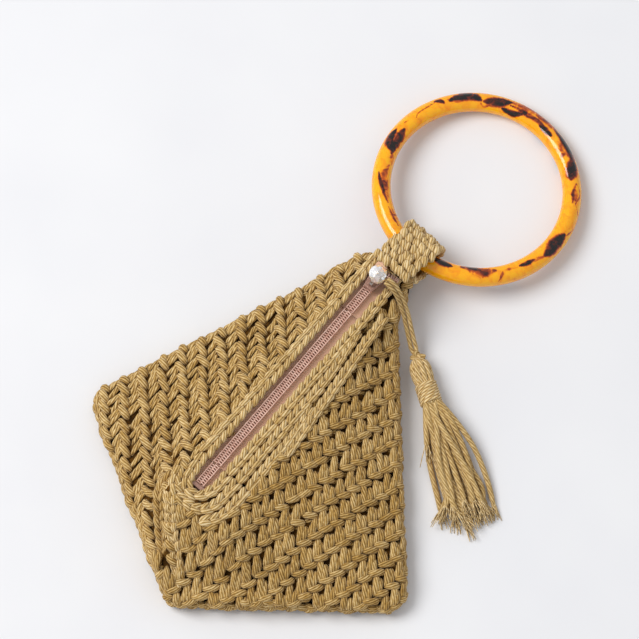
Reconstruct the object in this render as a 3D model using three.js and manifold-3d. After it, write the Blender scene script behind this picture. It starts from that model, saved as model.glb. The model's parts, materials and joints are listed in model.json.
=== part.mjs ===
// A crocheted zip pouch with a ring handle and a tassel pull, lying on its back on a table.
// Millimetres, +Z up, +Y towards the ring. The origin is on the underside of the back panel, where the
// panel's two diagonals cross.
import * as THREE from 'three';
import { mergeVertices } from 'three/addons/utils/BufferGeometryUtils.js';
import Module from 'manifold-3d';

const wasm = await Module();
wasm.setup();

// Fits
const CLEARANCE = 0.3;
const LIP_END_GAP = 0.8;

// Crochet fabric of the panels and of the edging bands
const FABRIC = 5;
const BAND_THICKNESS = 3.6;

// Outline of the pouch seen from above, a kite with a short neck at the ring end
const LEFT_REACH = 78;
const LEFT_LIFT = 4;
const RIGHT_REACH = 86;
const RIGHT_DROP = 5;
const LOWER_REACH = 56;
const SHOULDER_OUT = 6.5;
const SHOULDER_ALONG = 16;
const NECK_LEFT_OUT = 5.5;
const NECK_RIGHT_OUT = 3.2;
const NECK_ALONG = 0.5;
const CORNER_RADIUS = 9;
const SHOULDER_RADIUS = 22;
const NECK_RADIUS = 2.4;

// Front panels: height of the rim, its round edge, and how they fall from the zip to the rim
const RIM_HEIGHT = 11;
const RIM_DROP = 2.8;
const RIM_ROUND = 3.5;
const LEFT_FALL = 1.7;
const RIGHT_FALL = 1.05;
const FOLD_LENGTH_LEFT_OVER = 9;
const FOLD_RISE = 1.5;

// Ribs of the crochet on the front panels: which way they run seen from above, how far apart they are, and
// the grooves between them, which fade out before the panel's edges
const RIB_SPACING = 8.45;
const LEFT_RIB_HEADING = 124.6;
const RIGHT_RIB_HEADING = 247;
const RIB_COUNT_FROM = 20;
const LEFT_GROOVE_OFFSET = 3.3;
const RIGHT_GROOVE_OFFSET = 5;
const GROOVE_DEPTH = 2.1;
const GROOVE_WIDTH = 4.6;
const GROOVE_FADE = 5;
const GROOVE_TOLERANCE = 0.4;
const GROOVE_STEEPEST = 60;

// Zip: where it starts, which way it runs, and how its plane drops and leans
const ZIP_X = -12.2;
const ZIP_Y = -12.6;
const ZIP_HEIGHT = 36;
const ZIP_HEADING = 6;
const ZIP_DROP = 6.5;
const ZIP_ROLL = 8;

// Zip chain and its stops
const CHAIN_LENGTH = 124.1;
const CHAIN_GAP = 2.6;
const COIL_WIDTH = 1.7;
const COIL_HEIGHT = 1.8;
const TAPE_THICKNESS = 0.6;
const TAPE_WIDTH = 6;
const STOP_LENGTH = 1.6;
const STOP_HEIGHT = 2.1;
const STOP_SETBACK = 0.4;

// Crocheted edging of the zip mouth: closed ends, room beside the slider, and hems beyond the tape
const LOWER_CLOSURE = 10;
const UPPER_CLOSURE = 2.7;
const SLIDER_ROOM = 0.4;
const TAPE_SHOWN = 3.3;
const LEFT_HEM_LOW = 2.7;
const LEFT_HEM_HIGH = 0.8;
const RIGHT_HEM_LOW = 13.7;
const RIGHT_HEM_HIGH = 1.2;

// Room along the zip for the slider parked at the bottom, and for the cord at the top
const PARK_ROOM = 2.7;
const CORD_ROOM = 12.5;

// Slider
const SLIDER_SETBACK = 0.9;
const SLIDER_LENGTH = 9;
const SLIDER_WIDTH = 6.4;
const SLIDER_NOSE = 4.4;
const SLIDER_SHOULDER = 3.6;
const SLIDER_PLATE = 1.2;
const SLIDER_NECK_LENGTH = 2.4;
const BAIL_LENGTH = 6.4;
const BAIL_HEIGHT = 2.4;
const BAIL_BAR = 1;
const BAIL_WIDTH = 1.4;

// Pull: thread loop, bead and cord
const LOOP_RADIUS = 1.6;
const LOOP_THREAD = 0.8;
const BEAD_DIAMETER = 8.3;
const BEAD_SIDES = 10;
const BEAD_ROWS = 6;
const CORD_STRAND = 1.9;
const CORD_SPACING = 2.3;
const CORD_STEPS = 20;
const CORD_ROUTE = [
  [6.0, 107.4, 30.4],
  [8.2, 107.2, 29.7],
  [10.2, 106.9, 28.4],
  [11.9, 106.5, 26.5],
  [13.3, 106.0, 24.4],
  [14.7, 105.4, 22.2],
  [16.0, 104.7, 20.1],
  [17.3, 103.9, 18.0],
  [18.6, 103.0, 16.0],
  [19.9, 101.9, 14.1],
  [21.3, 100.6, 12.4],
  [22.8, 99.2, 10.8],
  [24.4, 97.7, 9.4],
  [26.1, 96.1, 8.2],
  [28.1, 94.3, 7.1],
];

// Tassel, lying on the table
const TASSEL_HEADING = -41;
const TASSEL_AXIS_HEIGHT = 6.6;
const KNOT_RADIUS = 3;
const HEAD_LENGTH = 9;
const HEAD_RADIUS = 5;
const NECK_CORE_RADIUS = 4.2;
const WRAP_YARN = 1;
const WRAP_PITCH = 1.45;
const WRAP_TURNS = 6;
const SKIRT_LENGTH = 56;
const SKIRT_HALF_WIDTH = 12;
const SKIRT_HALF_HEIGHT = 5.6;
const SKIRT_STRANDS = 14;

// Ring handle, its loop and the tab
const RING_OUTER_DIAMETER = 90;
const RING_TUBE = 8.2;
const RING_LOOP_HEIGHT = 13.5;
const TAB_HEADING = 10.6;
const TAB_WIDTH = 18;
const TAB_FABRIC = 4.2;
const TAB_PLAY = 1.3;
const TAB_NECK = 11.8;
const TAB_SIDE = 4.6;
const STRAP_LENGTH = 7;
const ANCHOR_LENGTH = 7;
const ANCHOR_INSET = 5;

const rad = THREE.MathUtils.degToRad;
const pouch = new THREE.Group();

// Materials
function material(color, roughness, metalness = 0) {
  return new THREE.MeshStandardMaterial({ color, roughness, metalness });
}
const crochet = () => material(0xb39a68, 0.95);
const zipTape = () => material(0xb08a75, 0.9);
const zipCoil = () => material(0xc7a18e, 0.45);
const plated = () => material(0xb9aca2, 0.3, 0.9);
const tortoiseshell = () => material(0xe8950f, 0.12);
const acrylic = () => material(0xe9eaec, 0.05);

function add(name, geometry, finish, parent = pouch) {
  const mesh = new THREE.Mesh(geometry, finish);
  mesh.name = name;
  parent.add(mesh);
  return mesh;
}

// Solids for joins and cuts
function bare(geometry) {
  const copy = geometry.clone();
  copy.deleteAttribute('normal');
  copy.deleteAttribute('uv');
  return mergeVertices(copy, 1e-3);
}

function solid(geometry) {
  const merged = bare(geometry);
  return new wasm.Manifold(new wasm.Mesh({
    numProp: 3,
    vertProperties: new Float32Array(merged.attributes.position.array),
    triVerts: new Uint32Array(merged.index.array),
  }));
}

function surface(manifold) {
  const mesh = manifold.getMesh();
  const geometry = new THREE.BufferGeometry();
  geometry.setAttribute('position', new THREE.BufferAttribute(new Float32Array(mesh.vertProperties), 3));
  geometry.setIndex(new THREE.BufferAttribute(new Uint32Array(mesh.triVerts), 1));
  geometry.computeVertexNormals();
  return geometry;
}

// A closed body from rows of points that run round it, with a fan on each end
function loft(rings) {
  const sides = rings[0].length;
  const positions = [];
  const faces = [];
  rings.forEach((ring) => ring.forEach((point) => positions.push(point.x, point.y, point.z)));
  for (let i = 0; i + 1 < rings.length; i += 1) {
    for (let j = 0; j < sides; j += 1) {
      const next = (j + 1) % sides;
      const a = i * sides + j;
      const b = i * sides + next;
      faces.push(a, b, b + sides, a, b + sides, a + sides);
    }
  }
  const ends = [[rings[0], 0, -1], [rings[rings.length - 1], (rings.length - 1) * sides, 1]];
  ends.forEach(([ring, first, turn]) => {
    const middle = new THREE.Vector3();
    ring.forEach((point) => middle.addScaledVector(point, 1 / sides));
    const centre = positions.length / 3;
    positions.push(middle.x, middle.y, middle.z);
    for (let j = 0; j < sides; j += 1) {
      const next = (j + 1) % sides;
      faces.push(centre, first + (turn > 0 ? j : next), first + (turn > 0 ? next : j));
    }
  });
  return facedOut(positions, faces);
}

// The same faces, turned over if they point inwards
function facedOut(positions, faces) {
  const at = (i) => new THREE.Vector3().fromArray(positions, i * 3);
  let volume = 0;
  for (let i = 0; i < faces.length; i += 3) {
    volume += at(faces[i]).dot(at(faces[i + 1]).cross(at(faces[i + 2])));
  }
  const geometry = new THREE.BufferGeometry();
  geometry.setAttribute('position', new THREE.Float32BufferAttribute(positions, 3));
  geometry.setIndex(volume > 0 ? faces : faces.reverse());
  geometry.computeVertexNormals();
  return geometry;
}

// A flat plate from an outline, between two heights
function plate(points, bottom, top) {
  const shape = new THREE.Shape(points.map(([x, y]) => new THREE.Vector2(x, y)));
  const geometry = new THREE.ExtrudeGeometry(shape, { depth: top - bottom, bevelEnabled: false });
  return geometry.translate(0, 0, bottom);
}

// The zip's own frame: x runs along the zip to the ring, y to its left, z out of its plane
const zip = new THREE.Group();
zip.position.set(ZIP_X, ZIP_Y, ZIP_HEIGHT);
zip.rotation.set(rad(ZIP_ROLL), rad(ZIP_DROP), rad(90 - ZIP_HEADING), 'ZYX');
zip.updateMatrixWorld();
pouch.add(zip);
const onZip = (u, v, w = 0) => new THREE.Vector3(u, v, w).applyMatrix4(zip.matrixWorld);

// Places along the zip
const chainStart = STOP_SETBACK + STOP_LENGTH + CLEARANCE;
const chainEnd = chainStart + CHAIN_LENGTH;
const sliderRest = chainEnd - SLIDER_SETBACK - SLIDER_LENGTH / 2;
const mouthStart = chainStart + SLIDER_LENGTH + PARK_ROOM;
const mouthEnd = sliderRest - SLIDER_LENGTH / 2 - CORD_ROOM;
const lowerEnd = -LOWER_CLOSURE;
const upperEnd = chainEnd + 2 * CLEARANCE + STOP_LENGTH + UPPER_CLOSURE;

// Places across the zip
const tapeReach = CHAIN_GAP / 2 + TAPE_WIDTH;
const slotLeft = SLIDER_WIDTH / 2 + SLIDER_ROOM;
const slotRight = SLIDER_WIDTH / 2 + TAPE_SHOWN;
const along = (low, high) => (u) => THREE.MathUtils.mapLinear(u, lowerEnd, upperEnd, low, high);
const leftEdge = along(tapeReach + LEFT_HEM_LOW, tapeReach + LEFT_HEM_HIGH);
const rightEdge = along(-tapeReach - RIGHT_HEM_LOW, -tapeReach - RIGHT_HEM_HIGH);

// Pouch outline
function fillet(before, corner, after, radius, steps) {
  const back = before.clone().sub(corner).normalize();
  const ahead = after.clone().sub(corner).normalize();
  const half = Math.acos(THREE.MathUtils.clamp(back.dot(ahead), -1, 1)) / 2;
  const bisector = back.clone().add(ahead).normalize();
  const centre = corner.clone().addScaledVector(bisector, radius / Math.sin(half));
  const reach = radius / Math.tan(half);
  const first = corner.clone().addScaledVector(back, reach).sub(centre);
  const turn = (Math.PI - 2 * half) * Math.sign(back.cross(ahead)) * -1;
  const points = [];
  for (let i = 0; i <= steps; i += 1) {
    points.push(first.clone().rotateAround(new THREE.Vector2(), (turn * i) / steps).add(centre));
  }
  return points;
}

function outlineCorners() {
  const upperLeft = onZip(upperEnd, leftEdge(upperEnd));
  const upperRight = onZip(upperEnd, rightEdge(upperEnd));
  const shoulder = onZip(upperEnd - SHOULDER_ALONG, rightEdge(upperEnd - SHOULDER_ALONG));
  const neckY = upperLeft.y + NECK_ALONG;
  return {
    lower: new THREE.Vector2(0, -LOWER_REACH),
    right: new THREE.Vector2(RIGHT_REACH, -RIGHT_DROP),
    shoulder: new THREE.Vector2(shoulder.x + SHOULDER_OUT, shoulder.y),
    neckRight: new THREE.Vector2(upperRight.x + NECK_RIGHT_OUT, neckY),
    neckLeft: new THREE.Vector2(upperLeft.x - NECK_LEFT_OUT, neckY),
    left: new THREE.Vector2(-LEFT_REACH, LEFT_LIFT),
  };
}

const corners = outlineCorners();
const lowerArc = fillet(corners.left, corners.lower, corners.right, CORNER_RADIUS, 6);
const rightArc = fillet(corners.lower, corners.right, corners.shoulder, CORNER_RADIUS, 6);
const shoulderArc = fillet(corners.right, corners.shoulder, corners.neckRight, SHOULDER_RADIUS, 4);
const neckRightArc = fillet(corners.shoulder, corners.neckRight, corners.neckLeft, NECK_RADIUS, 3);
const neckLeftArc = fillet(corners.neckRight, corners.neckLeft, corners.left, NECK_RADIUS, 3);
const leftArc = fillet(corners.neckLeft, corners.left, corners.lower, CORNER_RADIUS, 6);
const lowerTip = lowerArc[lowerArc.length / 2 - 0.5];

function backPanel() {
  const outline = [lowerArc, rightArc, shoulderArc, neckRightArc, neckLeftArc, leftArc].flat();
  add('back_panel', plate(outline.map((point) => [point.x, point.y]), 0, FABRIC), crochet());
}

// Points spaced evenly along a stretch of a path
function spaced(path, from, to, steps) {
  const lengths = [0];
  for (let i = 1; i < path.length; i += 1) {
    lengths.push(lengths[i - 1] + path[i].distanceTo(path[i - 1]));
  }
  const total = lengths[lengths.length - 1];
  const points = [];
  for (let k = 0; k <= steps; k += 1) {
    const target = total * (from + ((to - from) * k) / steps);
    let i = 1;
    while (i < path.length - 1 && lengths[i] < target) {
      i += 1;
    }
    const part = (target - lengths[i - 1]) / (lengths[i] - lengths[i - 1]);
    points.push(path[i - 1].clone().lerp(path[i], part));
  }
  return points;
}

// A closed body between two grids of points, one above the other, with each quad split the short way
function shell(top, bottom) {
  const rows = top.length;
  const columns = top[0].length;
  const points = [...top, ...bottom].flat();
  const upper = (i, j) => i * columns + j;
  const lower = (i, j) => (rows + i) * columns + j;
  const faces = [];
  const quad = (a, b, c, d) => {
    const acrossAC = points[a].distanceTo(points[c]) <= points[b].distanceTo(points[d]);
    faces.push(...(acrossAC ? [a, b, c, a, c, d] : [a, b, d, b, c, d]));
  };
  for (let i = 0; i + 1 < rows; i += 1) {
    for (let j = 0; j + 1 < columns; j += 1) {
      quad(upper(i, j), upper(i, j + 1), upper(i + 1, j + 1), upper(i + 1, j));
      quad(lower(i, j), lower(i + 1, j), lower(i + 1, j + 1), lower(i, j + 1));
    }
    const j = columns - 1;
    quad(upper(i, 0), upper(i + 1, 0), lower(i + 1, 0), lower(i, 0));
    quad(upper(i, j), lower(i, j), lower(i + 1, j), upper(i + 1, j));
  }
  for (let j = 0; j + 1 < columns; j += 1) {
    const i = rows - 1;
    quad(upper(0, j), lower(0, j), lower(0, j + 1), upper(0, j + 1));
    quad(upper(i, j), upper(i, j + 1), lower(i, j + 1), lower(i, j));
  }
  return facedOut(points.flatMap((point) => point.toArray()), faces);
}

// Where a groove has room on top of a panel, inside its edges and off its steep folds: spots 1 mm apart along
// a line, in unbroken stretches
function topStretches(panel, start, along, right) {
  const leastRise = Math.cos(rad(GROOVE_STEEPEST));
  const mesh = new THREE.Mesh(panel);
  const ray = new THREE.Raycaster();
  const below = (spot, aside) => {
    ray.set(spot.clone().addScaledVector(right, aside), new THREE.Vector3(0, 0, -1));
    const hit = ray.intersectObject(mesh)[0];
    return hit && hit.point.z > RIM_HEIGHT && hit.face.normal.z > leastRise ? hit : null;
  };
  const reach = 2 * RIGHT_REACH;
  const stretches = [[]];
  for (let s = -reach; s <= reach; s += 1) {
    const spot = start.clone().addScaledVector(along, s);
    const hit = below(spot, 0);
    const last = stretches[stretches.length - 1];
    if (hit && below(spot, -GROOVE_WIDTH / 2) && below(spot, GROOVE_WIDTH / 2)) {
      last.push({ s, point: hit.point, normal: hit.face.normal });
    } else if (last.length > 0) {
      stretches.push([]);
    }
  }
  return stretches.filter((stretch) => stretch.length > 3 * GROOVE_FADE);
}

// The fewest spots of a stretch whose straight links follow all of them
function fewest(spots) {
  const last = spots.length - 1;
  const link = new THREE.Line3(spots[0].point, spots[last].point);
  const nearest = new THREE.Vector3();
  const off = spots.map(({ point }) => link.closestPointToPoint(point, true, nearest).distanceTo(point));
  const worst = off.indexOf(Math.max(...off));
  if (off[worst] < GROOVE_TOLERANCE) {
    return [spots[0], spots[last]];
  }
  return [...fewest(spots.slice(0, worst + 1)), ...fewest(spots.slice(worst)).slice(1)];
}

// A V-shaped bar along a stretch of a panel's top, sunk in it except at its ends, where it rises clear
function grooveBar(stretch, along) {
  const last = stretch.length - 1;
  const parts = [[0, GROOVE_FADE], [GROOVE_FADE, last - GROOVE_FADE], [last - GROOVE_FADE, last]];
  const spots = parts.flatMap(([from, to], i) => fewest(stretch.slice(from, to + 1)).slice(i > 0 ? 1 : 0));
  const flank = GROOVE_WIDTH / 2 / GROOVE_DEPTH;
  const above = GROOVE_DEPTH;
  return loft(spots.map(({ s, point }) => {
    const place = s - stretch[0].s;
    const up = new THREE.Vector3();
    stretch.slice(Math.max(place - 2, 0), place + 3).forEach(({ normal }) => up.add(normal));
    up.normalize();
    const side = along.clone().cross(up).normalize();
    const sunk = Math.min(place, last - place) / GROOVE_FADE;
    const depth = THREE.MathUtils.lerp(-above / 4, GROOVE_DEPTH, Math.min(sunk, 1));
    const reach = flank * (depth + above);
    const top = point.clone().addScaledVector(up, above);
    const left = top.clone().addScaledVector(side, -reach);
    const right = top.clone().addScaledVector(side, reach);
    return [point.clone().addScaledVector(up, -depth), right, left];
  }));
}

// The panel with the grooves between its ribs cut into its top
function ribbed(panel, headingAngle, offset) {
  const along = new THREE.Vector3(Math.cos(rad(headingAngle)), Math.sin(rad(headingAngle)), 0);
  const right = new THREE.Vector3(along.y, -along.x, 0);
  const most = Math.ceil((2 * RIGHT_REACH) / RIB_SPACING);
  let body = solid(panel);
  for (let k = -most; k <= most; k += 1) {
    const start = new THREE.Vector3(0, RIB_COUNT_FROM, 2 * ZIP_HEIGHT);
    start.addScaledVector(right, k * RIB_SPACING + offset);
    topStretches(panel, start, along, right).forEach((stretch) => {
      body = body.subtract(solid(grooveBar(stretch, along)));
    });
  }
  return surface(body.simplify(CLEARANCE / 10));
}

// A front panel: a shell that falls from its inner edge, along the zip and the fold, to the rim.
// Beside the mouth its inner edge leans as the zip does, and along the fold it is upright
const ACROSS = [0, 0.12, 0.26, 0.42, 0.6, 0.8, 1];

function frontPanel(besideMouth, alongFold, outer, fall) {
  const rimBottom = FABRIC + CLEARANCE;
  const lean = onZip(0, 0, -FABRIC).sub(onZip(0, 0, 0));
  const upright = new THREE.Vector3(0, 0, -FABRIC);
  const top = [];
  const bottom = [];
  [...besideMouth, ...alongFold].forEach((ridge, i) => {
    const rim = outer[i];
    const length = Math.hypot(rim.x - ridge.x, rim.y - ridge.y);
    const flat = 1 - Math.min(RIM_ROUND / length, 0.5);
    const under = ridge.clone().add(i < besideMouth.length ? lean : upright);
    const rise = ridge.z - RIM_HEIGHT;
    const topRow = [];
    const bottomRow = [];
    ACROSS.forEach((share) => {
      const reach = share * flat;
      const z = RIM_HEIGHT + rise * (1 - share) ** fall;
      const slope = (rise * fall * (1 - share) ** (fall - 1)) / (length * flat);
      const below = share === 0 ? under.z : Math.max(rimBottom, z - FABRIC * Math.hypot(1, slope));
      topRow.push(new THREE.Vector3(ridge.x, ridge.y, z).lerp(new THREE.Vector3(rim.x, rim.y, z), reach));
      const outside = new THREE.Vector3(rim.x, rim.y, below);
      bottomRow.push(new THREE.Vector3(under.x, under.y, below).lerp(outside, reach));
    });
    topRow.push(new THREE.Vector3(rim.x, rim.y, RIM_HEIGHT - RIM_DROP));
    bottomRow.push(new THREE.Vector3(rim.x, rim.y, rimBottom));
    top.push(topRow);
    bottom.push(bottomRow);
  });
  return shell(top, bottom);
}

// The fold runs from the lower left corner of the mouth down to the lower tip of the outline
function foldLine(side, steps) {
  const start = onZip(lowerEnd - CLEARANCE, leftEdge(lowerEnd) + CLEARANCE);
  const tip = new THREE.Vector3(lowerTip.x, lowerTip.y, RIM_HEIGHT + FOLD_RISE);
  const run = new THREE.Vector2(tip.x - start.x, tip.y - start.y);
  const shift = run.clone().rotateAround(new THREE.Vector2(), Math.PI / 2).setLength(side * CLEARANCE);
  const end = 1 - FOLD_LENGTH_LEFT_OVER / run.length();
  const points = [];
  for (let i = 0; i <= steps; i += 1) {
    const point = start.clone().lerp(tip, (end * i) / steps);
    points.push(point.add(new THREE.Vector3(shift.x, shift.y, 0)));
  }
  const rimPoint = new THREE.Vector2(lowerTip.x + shift.x, lowerTip.y + shift.y);
  return { points, rimPoint };
}

const MOUTH_STEPS = 14;
const FOLD_STEPS = 6;
const LOWER_STEPS = 4;

function leftFrontPanel() {
  const fold = foldLine(-1, FOLD_STEPS);
  const inner = [];
  for (let i = 0; i < MOUTH_STEPS; i += 1) {
    const u = THREE.MathUtils.lerp(upperEnd, lowerEnd, i / MOUTH_STEPS);
    inner.push(onZip(u, leftEdge(u) + CLEARANCE));
  }
  const rim = [
    ...neckLeftArc.slice(-1),
    ...leftArc,
    ...lowerArc.slice(0, lowerArc.length / 2 - 0.5),
    fold.rimPoint,
  ];
  const cornerShare = 0.8;
  const outer = [
    ...spaced(rim, 0, cornerShare, MOUTH_STEPS).slice(0, -1),
    ...spaced(rim, cornerShare, 1, FOLD_STEPS),
  ];
  inner.push(fold.points[0]);
  const panel = frontPanel(inner, fold.points.slice(1), outer, LEFT_FALL);
  add('front_left_panel', ribbed(panel, LEFT_RIB_HEADING, LEFT_GROOVE_OFFSET), crochet());
}

function rightFrontPanel() {
  const fold = foldLine(1, FOLD_STEPS);
  const inner = [];
  for (let i = 0; i < MOUTH_STEPS; i += 1) {
    const u = THREE.MathUtils.lerp(upperEnd, lowerEnd - CLEARANCE, i / MOUTH_STEPS);
    inner.push(onZip(u, rightEdge(u) - CLEARANCE));
  }
  const corner = onZip(lowerEnd - CLEARANCE, rightEdge(lowerEnd) - CLEARANCE);
  for (let i = 0; i < LOWER_STEPS; i += 1) {
    inner.push(corner.clone().lerp(fold.points[0], i / LOWER_STEPS));
  }
  const backwards = [...lowerArc].reverse();
  const rim = [
    neckRightArc[0],
    ...[...shoulderArc].reverse(),
    ...[...rightArc].reverse(),
    ...backwards.slice(0, lowerArc.length / 2 - 0.5),
    fold.rimPoint,
  ];
  const cornerShare = 0.8;
  const foldShare = 0.9;
  const outer = [
    ...spaced(rim, 0, cornerShare, MOUTH_STEPS).slice(0, -1),
    ...spaced(rim, cornerShare, foldShare, LOWER_STEPS).slice(0, -1),
    ...spaced(rim, foldShare, 1, FOLD_STEPS),
  ];
  inner.push(fold.points[0]);
  const panel = frontPanel(inner, fold.points.slice(1), outer, RIGHT_FALL);
  add('front_right_panel', ribbed(panel, RIGHT_RIB_HEADING, RIGHT_GROOVE_OFFSET), crochet());
}

// Crocheted edging of the mouth: two fixed ends and two lips that fold up between them
function mouthEdging() {
  const slotStart = -CLEARANCE;
  const slotEnd = upperEnd - UPPER_CLOSURE + CLEARANCE;
  const lowerTop = mouthStart - LIP_END_GAP;
  const upperBottom = mouthEnd + LIP_END_GAP;
  const lower = [
    [lowerEnd, leftEdge(lowerEnd)],
    [lowerTop, leftEdge(lowerTop)],
    [lowerTop, slotLeft],
    [slotStart, slotLeft],
    [slotStart, -slotRight],
    [lowerTop, -slotRight],
    [lowerTop, rightEdge(lowerTop)],
    [lowerEnd, rightEdge(lowerEnd)],
  ];
  const upper = [
    [upperEnd, leftEdge(upperEnd)],
    [upperBottom, leftEdge(upperBottom)],
    [upperBottom, slotLeft],
    [slotEnd, slotLeft],
    [slotEnd, -slotRight],
    [upperBottom, -slotRight],
    [upperBottom, rightEdge(upperBottom)],
    [upperEnd, rightEdge(upperEnd)],
  ];
  add('mouth_end_lower', plate(lower, -BAND_THICKNESS, 0), crochet(), zip);
  add('mouth_end_upper', plate(upper, -BAND_THICKNESS, 0), crochet(), zip);
  const lips = [['left', slotLeft, leftEdge], ['right', -slotRight, rightEdge]];
  lips.forEach(([side, slot, edge]) => {
    const lip = [
      [mouthStart, slot],
      [mouthEnd, slot],
      [mouthEnd, edge(mouthEnd)],
      [mouthStart, edge(mouthStart)],
    ];
    add(`lip_${side}`, plate(lip, -BAND_THICKNESS, 0), crochet(), zip);
  });
}

// Zip tape and coil: on each side a lower stub, the length on the lip, and an upper stub
const tapeTop = -BAND_THICKNESS - CLEARANCE;
const tapeBottom = tapeTop - TAPE_THICKNESS;
const coilBottom = tapeTop + CLEARANCE;
const coilTop = coilBottom + COIL_HEIGHT;

function zipChain() {
  const stretches = [
    ['lower', 0, chainStart, mouthStart - LIP_END_GAP, mouthStart - LIP_END_GAP],
    ['lip', mouthStart, mouthStart, mouthEnd, mouthEnd],
    ['upper', mouthEnd + LIP_END_GAP, mouthEnd + LIP_END_GAP, chainEnd, chainEnd + STOP_LENGTH + CLEARANCE],
  ];
  const sides = [['left', 1], ['right', -1]];
  sides.forEach(([side, sign]) => {
    const band = (from, to, near, far) => [
      [from, sign * near],
      [to, sign * near],
      [to, sign * far],
      [from, sign * far],
    ];
    const near = CHAIN_GAP / 2;
    stretches.forEach(([place, tapeFrom, coilFrom, coilTo, tapeTo]) => {
      const tape = band(tapeFrom, tapeTo, near, tapeReach);
      const coil = band(coilFrom, coilTo, near, near + COIL_WIDTH);
      add(`zip_tape_${side}_${place}`, plate(tape, tapeBottom, tapeTop), zipTape(), zip);
      add(`zip_coil_${side}_${place}`, plate(coil, coilBottom, coilTop), zipCoil(), zip);
    });
    const stopFrom = chainEnd + CLEARANCE;
    const stop = band(stopFrom, stopFrom + STOP_LENGTH, near, near + COIL_WIDTH);
    add(`zip_top_stop_${side}`, plate(stop, coilBottom, coilBottom + STOP_HEIGHT), plated(), zip);
  });
  const reach = CHAIN_GAP / 2 + COIL_WIDTH;
  const bottomTo = chainStart - CLEARANCE;
  const bottom = [
    [bottomTo - STOP_LENGTH, -reach],
    [bottomTo, -reach],
    [bottomTo, reach],
    [bottomTo - STOP_LENGTH, reach],
  ];
  add('zip_bottom_stop', plate(bottom, coilBottom, coilBottom + STOP_HEIGHT), plated(), zip);
}

// Slider: two plates joined by a neck between the coils, with a bail on top
const slider = new THREE.Group();
slider.position.set(sliderRest, 0, 0);
zip.add(slider);
const sliderTop = coilTop + CLEARANCE + SLIDER_PLATE;
const bailTop = sliderTop + CLEARANCE + BAIL_HEIGHT;

function sliderBody() {
  const half = SLIDER_LENGTH / 2;
  const wide = SLIDER_WIDTH / 2;
  const nose = SLIDER_NOSE / 2;
  const shoulder = half - SLIDER_SHOULDER;
  const outline = [
    [-half, -nose],
    [shoulder, -wide],
    [half, -wide],
    [half, wide],
    [shoulder, wide],
    [-half, nose],
  ];
  const lowerTop = tapeBottom - CLEARANCE;
  const neckHalf = CHAIN_GAP / 2 - CLEARANCE;
  const neck = [
    [half - SLIDER_NECK_LENGTH, -neckHalf],
    [half, -neckHalf],
    [half, neckHalf],
    [half - SLIDER_NECK_LENGTH, neckHalf],
  ];
  const upperPlate = solid(plate(outline, coilTop + CLEARANCE, sliderTop));
  const lowerPlate = solid(plate(outline, lowerTop - SLIDER_PLATE, lowerTop));
  const middle = solid(plate(neck, lowerTop - SLIDER_PLATE / 2, sliderTop - SLIDER_PLATE / 2));
  add('slider_body', surface(upperPlate.add(middle).add(lowerPlate)), plated(), slider);
}

function sliderBail() {
  const half = BAIL_LENGTH / 2;
  const foot = sliderTop + CLEARANCE;
  const inner = bailTop - BAIL_BAR;
  const arch = [
    [-half, foot],
    [-half + BAIL_BAR, foot],
    [-half + BAIL_BAR, inner],
    [half - BAIL_BAR, inner],
    [half - BAIL_BAR, foot],
    [half, foot],
    [half, bailTop - BAIL_BAR / 2],
    [half - BAIL_BAR / 2, bailTop],
    [-half + BAIL_BAR / 2, bailTop],
    [-half, bailTop - BAIL_BAR / 2],
  ];
  const bail = plate(arch, -BAIL_WIDTH / 2, BAIL_WIDTH / 2).rotateX(Math.PI / 2);
  add('slider_bail', bail, plated(), slider);
}

// Pull: a thread loop round the bail, a faceted bead on it, and the two strands of the tassel's cord
const loopHeight = bailTop - BAIL_BAR / 2;
const beadHeight = loopHeight + LOOP_RADIUS + LOOP_THREAD / 2 + CLEARANCE + BEAD_DIAMETER / 2;

function pullBead() {
  const loop = new THREE.TorusGeometry(LOOP_RADIUS, LOOP_THREAD / 2, 6, 16).rotateY(Math.PI / 2);
  add('pull_loop', loop.translate(0, 0, loopHeight), crochet(), slider);
  const bead = new THREE.SphereGeometry(BEAD_DIAMETER / 2, BEAD_SIDES, BEAD_ROWS);
  add('pull_bead', bead.translate(0, 0, beadHeight), acrylic(), slider);
}

function cordStrand(name, side) {
  const route = CORD_ROUTE.map((point) => new THREE.Vector3(...point));
  const points = route.map((point, i) => {
    const before = route[Math.max(i - 1, 0)];
    const after = route[Math.min(i + 1, route.length - 1)];
    const across = new THREE.Vector3(before.y - after.y, after.x - before.x, 0);
    return point.clone().add(across.setLength((side * CORD_SPACING) / 2));
  });
  const section = new THREE.Shape();
  const sides = 8;
  for (let i = 0; i < sides; i += 1) {
    const angle = (2 * Math.PI * i) / sides;
    const place = [(CORD_STRAND / 2) * Math.cos(angle), (CORD_STRAND / 2) * Math.sin(angle)];
    if (i === 0) {
      section.moveTo(...place);
    } else {
      section.lineTo(...place);
    }
  }
  const extrudePath = new THREE.CatmullRomCurve3(points);
  add(name, new THREE.ExtrudeGeometry(section, { steps: CORD_STEPS, extrudePath }), crochet());
}

// Tassel: x runs from the knot to the ends of the skirt
const tassel = new THREE.Group();
const cordEnd = CORD_ROUTE[CORD_ROUTE.length - 1];
const heading = rad(TASSEL_HEADING);
const knotReach = KNOT_RADIUS + CLEARANCE;
tassel.position.set(
  cordEnd[0] + knotReach * Math.cos(heading),
  cordEnd[1] + knotReach * Math.sin(heading),
  TASSEL_AXIS_HEIGHT,
);
tassel.rotation.z = heading;
pouch.add(tassel);

const headStart = KNOT_RADIUS + CLEARANCE;
const wrapLength = WRAP_PITCH * WRAP_TURNS + 2 * WRAP_YARN;
const coreEnd = headStart + HEAD_LENGTH + wrapLength;

function turned(profile) {
  const points = profile.map(([x, radius]) => new THREE.Vector2(radius, x));
  return new THREE.LatheGeometry(points, 16).rotateZ(-Math.PI / 2);
}

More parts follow.
